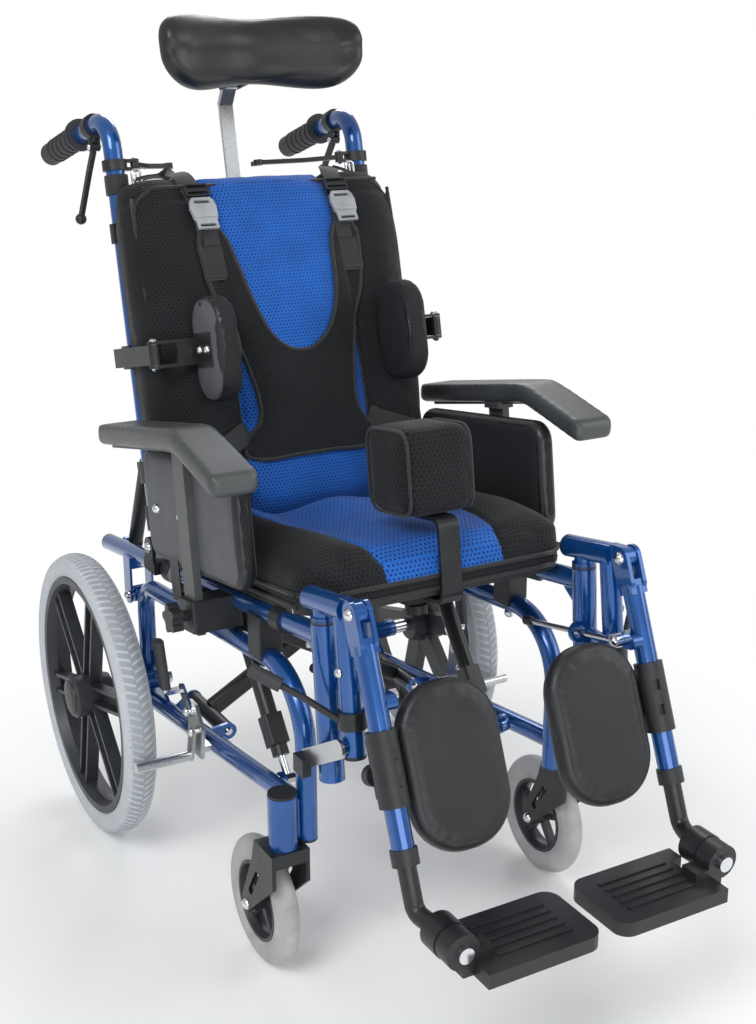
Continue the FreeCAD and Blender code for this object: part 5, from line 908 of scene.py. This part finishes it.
# Pads at the trunk, hips, calves and arms
for side, sign in (("left", 1), ("right", -1)):
    cover(
        side + "_trunk_cover", side + "_trunk_pad", lambda s: s.largest(), "pad_cover",
        side + "_trunk_pad", BACK, panel=lambda p, k=sign: p[:, 0] * k - 151.4, cap=1.5,
    )
    for index, (x, inset) in enumerate(((149.6, 5.0), (127.5, 4.6))):
        loop = [
            (sign * x, y, z)
            for y, z in round_loop(-214 + inset, 196 + inset, -122 - inset, 330 - inset, 34, 6)
        ]
        piping("%s_trunk_piping_%d" % (side, index + 1), loop, BACK, side + "_trunk_pad", 2.0)
    cover(
        side + "_hip_cover", "hip_supports",
        lambda s, k=sign: (s.size[:, 1] > 200) & (s.x * k > 0), "pad_cover", "seat", SEAT,
        panel=lambda p, k=sign: p[:, 0] * k - 226.0, cap=1.0,
    )
    for index, (x, inset) in enumerate(((223.6, 4.6), (205.6, 4.6))):
        loop = [
            (sign * x, y, z)
            for y, z in round_loop(-430 + inset, 36 + inset, -132 - inset, 184 - inset, 22, 5)
        ]
        piping("%s_hip_piping_%d" % (side, index + 1), loop, SEAT, "seat", 1.8)
    cover(
        side + "_calf_skin", side + "_calf_pad",
        lambda s: s.largest(), "skin", side + "_calf_pad", LEG, cap=1.0,
    )
    arm = slab(
        side + "_arm_skin", arm_outline(), ARM_WIDTH, (sign * ARM_X - ARM_WIDTH / 2, 0, 0),
        (0, 1, 0), (0, 0, 1), UPRIGHT, side + "_armrest", "arm_skin", ARM_ROUNDING,
    )
    remeshed(arm, 3.5)
    relaxed(arm, 2)
    put(arm.data, coordinates(arm.data) + normals(arm.data) * 0.5 * MM)
    divided(arm)
    arm.data.polygons.foreach_set("use_smooth", [True] * len(arm.data.polygons))

# Vest: a shaped panel of net laid over the back, with piped edges
VEST_HALF = [
    (0, 250), (18, 253), (38, 268), (52, 290), (64, 326), (72, 370), (79, 404), (90, 420),
    (104, 420), (118, 408), (117, 372), (111, 335), (99, 300), (88, 268), (80, 236), (74, 204),
    (72, 176), (78, 156), (92, 140), (98, 122), (84, 112), (60, 110), (30, 112), (0, 112),
]
ring = [(x, z) for x, z in VEST_HALF] + [(-x, z) for x, z in reversed(VEST_HALF[1:-1])]
ring = [(p.x, p.y) for p in smooth_path([(x, z, 0) for x, z in ring], True, 4.0)]


def inside(x, z):
    found = False
    for index, (ax, az) in enumerate(ring):
        bx, bz = ring[index - 1]
        if (az > z) != (bz > z) and x < (bx - ax) * (z - az) / (bz - az) + ax:
            found = not found
    return found


CELL = 6.0
grid = {}
corners, faces = [], []
for column in range(-21, 22):
    for row in range(15, 72):
        if inside((column + 0.5) * CELL, (row + 0.5) * CELL):
            quad = []
            for key in ((column, row), (column + 1, row), (column + 1, row + 1), (column, row + 1)):
                if key not in grid:
                    grid[key] = len(corners)
                    corners.append((key[0] * CELL, key[1] * CELL))
                quad.append(grid[key])
            faces.append(quad)
uses = {}
for quad in faces:
    for index in range(4):
        pair = frozenset((quad[index], quad[(index + 1) % 4]))
        uses[pair] = uses.get(pair, 0) + 1
rim = {index for pair, times in uses.items() if times == 1 for index in pair}
ring_spots = np.array(ring)
placed = []
for index, (x, z) in enumerate(corners):
    if index in rim:
        nearest = np.hypot(ring_spots[:, 0] - x, ring_spots[:, 1] - z).argmin()
        x, z = ring_spots[nearest]
    placed.append(BACK @ on_back(x, z, 3.4))
mesh = bpy.data.meshes.new("vest_panel")
mesh.from_pydata(placed, [], faces)
work = bmesh.new()
work.from_mesh(mesh)
bmesh.ops.recalc_face_normals(work, faces=work.faces)
if sum((face.normal.y for face in work.faces)) > 0:
    bmesh.ops.reverse_faces(work, faces=work.faces)
work.to_mesh(mesh)
work.free()
vest = add("vest_panel", mesh, "vest_net", "back")
shell = vest.modifiers.new("shell", "SOLIDIFY")
shell.thickness = 3.2 * MM
shell.offset = 0.0
settle(vest)
divided(vest)
woven(vest, BACK)
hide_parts("vest")
piping("vest_piping", [on_back(x, z, 3.6) for x, z in ring[::4]], BACK, "back", 2.9)

# Straps of the vest: up over the back to the canes, and round the waist
for side, sign in (("left", 1), ("right", -1)):
    def spot(x, height, lift, k=sign):
        return on_back(k * x, height, lift)

    across = (1.0, 0, 0)
    run = [spot(103, height, 6.4) for height in (352, 372, 396, 420, 440)]
    ribbon(side + "_shoulder_web", run, [across] * 5, 30, 1.8, BACK, "back")
    patch = [spot(103, height, 8.0) for height in (356, 368, 384, 398)]
    ribbon(side + "_stitched_patch", patch, [across] * 4, 31, 1.2, BACK, "back", "piping")
    upper_run = [
        spot(106, 452, 7.0), spot(108, 466, 7.0), Vector((sign * 112, -50, BACK_TOP + 4)),
        Vector((sign * 128, -26, BACK_TOP + 9)), Vector((sign * 150, -20, BACK_TOP + 8)),
        Vector((sign * 166, -18, BACK_TOP + 4)),
    ]
    leans = [
        across, across, (1, 0.1 * sign, 0), (0.75, 0.6 * sign, 0), (0.2, 1.0 * sign, 0.1),
        (0.1, 1.0 * sign, 0.3),
    ]
    ribbon(side + "_shoulder_strap", upper_run, leans, 28, 1.7, BACK, "back")
    # Side-release buckle
    base = spot(104.5, 446, 8.4)
    lower = spot(104.5, 430, 8.4)
    up = (spot(104.5, 462, 8.4) - lower).normalized()
    flat = Vector((1, 0, 0))
    body_outline = [(-17, -14), (-19, 2), (-17, 12), (-13, 17), (13, 17), (17, 12), (19, 2), (17, -14)]
    hole = [(-11, 8), (-11, 12), (11, 12), (11, 8)]
    sunk = base - up * 1.0
    slab(side + "_buckle_body", body_outline, 7.0, sunk, flat, up, BACK, "back", "buckle", 1.4, [hole])
    tongue = [(-15, -30), (-15, -18), (-18, -12), (-13, -4), (13, -4), (18, -12), (15, -18), (15, -30)]
    gap = [(-11, -27), (-11, -23), (11, -23), (11, -27)]
    slab(side + "_buckle_tongue", tongue, 5.0, sunk, flat, up, BACK, "back", "buckle", 1.2, [gap])
    # Ladder adjuster above the buckle
    ladder = round_loop(-18, 20, 18, 40, 4, 3)
    windows = [round_loop(-14, 23, 14, 27, 1.5, 2), round_loop(-14, 33, 14, 37, 1.5, 2)]
    slab(side + "_ladder", ladder, 4.0, base, flat, up, BACK, "back", "plastic", 1.0, windows)
    # Band round the cane with its chrome slide
    band = []
    for step in range(13):
        angle = 2 * math.pi * step / 12
        band.append(Vector((sign * CANE_X + 15.4 * math.cos(angle), 15.4 * math.sin(angle), BACK_TOP + 2)))
    ribbon(side + "_cane_band", band, [(0, 0, 1)] * 13, 26, 1.8, BACK, "back")
    frame_ring = [(sign * 163 + a, -19.5, BACK_TOP + 2 + b) for a, b in round_loop(-6, -17, 6, 17, 4, 3)]
    piping(side + "_slide_ring", frame_ring, BACK, "back", 1.9, look="chrome")
    bar_ends = [(sign * 163, -19.5, BACK_TOP - 13), (sign * 163, -19.5, BACK_TOP + 17)]
    piping(side + "_slide_bar", bar_ends, BACK, "back", 1.6, closed=False, look="chrome")
    # Waist strap from the vest round the bolster
    fall = ((92, 150), (112, 140), (140, 128), (168, 118), (188, 112))
    waist = [spot(x, height, 5.0) for x, height in fall]
    waist.append(Vector((sign * 209, -46, 108)))
    waist.append(Vector((sign * 209, -14, 106)))
    leans = [(0.25 * sign, 0, 1)] * 5 + [(0, 0.1, 1), (0, 0.1, 1)]
    ribbon(side + "_waist_strap", waist, leans, 30, 1.8, BACK, "back")
    # Strap that holds the foot of the back to the cane
    foot_band = []
    for step in range(13):
        angle = 2 * math.pi * step / 12
        foot_band.append(Vector((sign * CANE_X + 15.0 * math.cos(angle), 15.0 * math.sin(angle), 40)))
    ribbon(side + "_foot_band", foot_band, [(0, 0, 1)] * 13, 34, 1.8, BACK, "back")

# Tread: raised chevrons round each rear tyre
PITCHES = 112
for side, sign in (("left", 1), ("right", -1)):
    corners, faces = [], []
    for number in range(PITCHES):
        for lean in (-1, 1):
            shift = 0.5 if lean > 0 else 0.0
            path = []
            for reach in (1.0, 6.0, 11.0, 15.5, 18.5):
                angle = 2 * math.pi * (number + shift) / PITCHES + reach * 0.0022
                path.append((lean * reach, angle, REAR_RADIUS - 7.4 * (reach / 18.9) ** 2))
            start = len(corners)
            for x, angle, radius in path:
                for wide, rise in ((-0.011, -0.4), (-0.0075, 0.9), (0.0075, 0.9), (0.011, -0.4)):
                    turn = angle + wide
                    corners.append(
                        UPRIGHT @ Vector((
                            sign * (REAR_X + x), (radius + rise) * math.sin(turn),
                            REAR_RADIUS + (radius + rise) * math.cos(turn),
                        ))
                    )
            for index in range(len(path) - 1):
                for k in range(3):
                    a = start + index * 4 + k
                    faces.append((a, a + 1, a + 5, a + 4))
                a = start + index * 4
                faces.append((a + 3, a, a + 4, a + 7))
            faces.append((start + 3, start + 2, start + 1, start))
            a = start + (len(path) - 1) * 4
            faces.append((a, a + 1, a + 2, a + 3))
    mesh = bpy.data.meshes.new(side + "_tread")
    mesh.from_pydata(corners, [], faces)
    work = bmesh.new()
    work.from_mesh(mesh)
    bmesh.ops.recalc_face_normals(work, faces=work.faces)
    work.to_mesh(mesh)
    work.free()
    add(side + "_tread", mesh, "tread", side + "_rear_wheel", smooth=False)

# Cables down the canes, each into a rubber sleeve on the tube
off = 12.7 + 4.3 + 2.5
for side, sign in (("left", 1), ("right", -1)):
    route = [
        (sign * (CANE_X - 18), off + 20, 512), (sign * (CANE_X - 10), off + 14, 509),
        (sign * CANE_X, off, 500), (sign * CANE_X, off, 440), (sign * CANE_X, off, 365),
        (sign * CANE_X, off, 290),
    ]
    curve = bpy.data.curves.new(side + "_cable", "CURVE")
    curve.dimensions = "3D"
    line = curve.splines.new("NURBS")
    line.points.add(len(route) - 1)
    for point, place in zip(line.points, route):
        point.co = (*(BACK @ Vector(place)), 1)
    line.order_u = 3
    line.use_endpoint_u = True
    curve.bevel_depth = 2.5 * MM
    curve.bevel_resolution = 4
    curve.use_fill_caps = True
    cable = add(side + "_cable", curve, "rubber", "back")
    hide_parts("cables")
    profile = [(0.0, 2.6), (2.0, 4.2), (12.0, 4.6), (15.0, 3.4), (15.5, 2.4)]
    corners, faces = [], []
    for lift, radius in profile:
        for turn in range(12):
            angle = 2 * math.pi * turn / 12
            corners.append(BACK @ Vector((
                sign * CANE_X + radius * math.cos(angle), off + radius * math.sin(angle) - 0.4, 283.0 + lift,
            )))
    for index in range(len(profile) - 1):
        for turn in range(12):
            other = (turn + 1) % 12
            a, b = index * 12, (index + 1) * 12
            faces.append((a + turn, a + other, b + other, b + turn))
    faces.append(tuple(reversed(range(12))))
    mesh = bpy.data.meshes.new(side + "_cable_sleeve")
    mesh.from_pydata(corners, [], faces)
    add(side + "_cable_sleeve", mesh, "rubber", "back")

# Floor and light
floor_mesh = bpy.data.meshes.new("floor")
reach = 14.0
floor_corners = [(-reach, -reach, 0), (reach, -reach, 0), (reach, reach, 0), (-reach, reach, 0)]
floor_mesh.from_pydata(floor_corners, [], [(0, 1, 2, 3)])
floor = bpy.data.objects.new("floor", floor_mesh)
floor.location.z = -0.001
bpy.context.scene.collection.objects.link(floor)
ground = Recipe("floor_paper")
ground.colour((0.93, 0.93, 0.925))
ground.set(Roughness=0.9)
ground.shader.inputs["Specular IOR Level"].default_value = 0.1
# Away from the chair the paper runs out into the white behind it
away = ground.node("ShaderNodeVectorMath", operation="DISTANCE")
away.inputs[1].default_value = FLOOR_CENTRE
ground.link(ground.coords(), away.inputs[0])
fade = ground.node("ShaderNodeMapRange", interpolation_type="SMOOTHSTEP")
fade.inputs["From Min"].default_value, fade.inputs["From Max"].default_value = FADE
ground.link(away.outputs["Value"], fade.inputs["Value"])
seen = ground.node("ShaderNodeLightPath").outputs["Is Camera Ray"]
glow = ground.node("ShaderNodeEmission")
runout = ground.node("ShaderNodeMixShader")
ground.link(ground.math("MULTIPLY", fade.outputs[0], seen), runout.inputs[0])
ground.link(ground.shader.outputs[0], runout.inputs[1])
ground.link(glow.outputs[0], runout.inputs[2])
ground.link(runout.outputs[0], ground.tree.nodes["Material Output"].inputs["Surface"])
floor_mesh.materials.append(ground.material)

world = bpy.data.worlds.new("studio")
bpy.context.scene.world = world
world.use_nodes = True
tree = world.node_tree
ambient = tree.nodes["Background"]
ambient.inputs["Color"].default_value = (0.96, 0.98, 1.0, 1)
ambient.inputs["Strength"].default_value = 0.55
white = tree.nodes.new("ShaderNodeBackground")
white.inputs["Color"].default_value = (1, 1, 1, 1)
white.inputs["Strength"].default_value = 1.0
path = tree.nodes.new("ShaderNodeLightPath")
either = tree.nodes.new("ShaderNodeMath")
either.operation = "MAXIMUM"
blend = tree.nodes.new("ShaderNodeMixShader")
tree.links.new(path.outputs["Is Camera Ray"], either.inputs[0])
tree.links.new(path.outputs["Is Transmission Ray"], either.inputs[1])
tree.links.new(either.outputs[0], blend.inputs[0])
tree.links.new(ambient.outputs[0], blend.inputs[1])
tree.links.new(white.outputs[0], blend.inputs[2])
tree.links.new(blend.outputs[0], tree.nodes["World Output"].inputs["Surface"])


def lamp(name, place, target, size, power):
    data = bpy.data.lights.new(name, "AREA")
    data.shape = "RECTANGLE"
    data.size, data.size_y = size
    data.energy = power
    made = bpy.data.objects.new(name, data)
    bpy.context.scene.collection.objects.link(made)
    made.location = place
    made.rotation_mode = "QUATERNION"
    made.rotation_quaternion = (Vector(target) - Vector(place)).to_track_quat("-Z", "Y")


lamp("key", (-2.2, -1.6, 2.9), (0, 0, 0.5), (1.6, 1.6), 62)
lamp("fill", (2.6, -1.9, 1.9), (0, 0, 0.5), (2.2, 2.2), 34)
lamp("rim", (1.4, 2.6, 2.6), (0, 0, 0.7), (1.8, 1.2), 40)
lamp("low_front", (-0.6, -3.0, 0.7), (0, 0, 0.35), (2.4, 0.8), 20)

bpy.context.scene.view_settings.view_transform = "Standard"
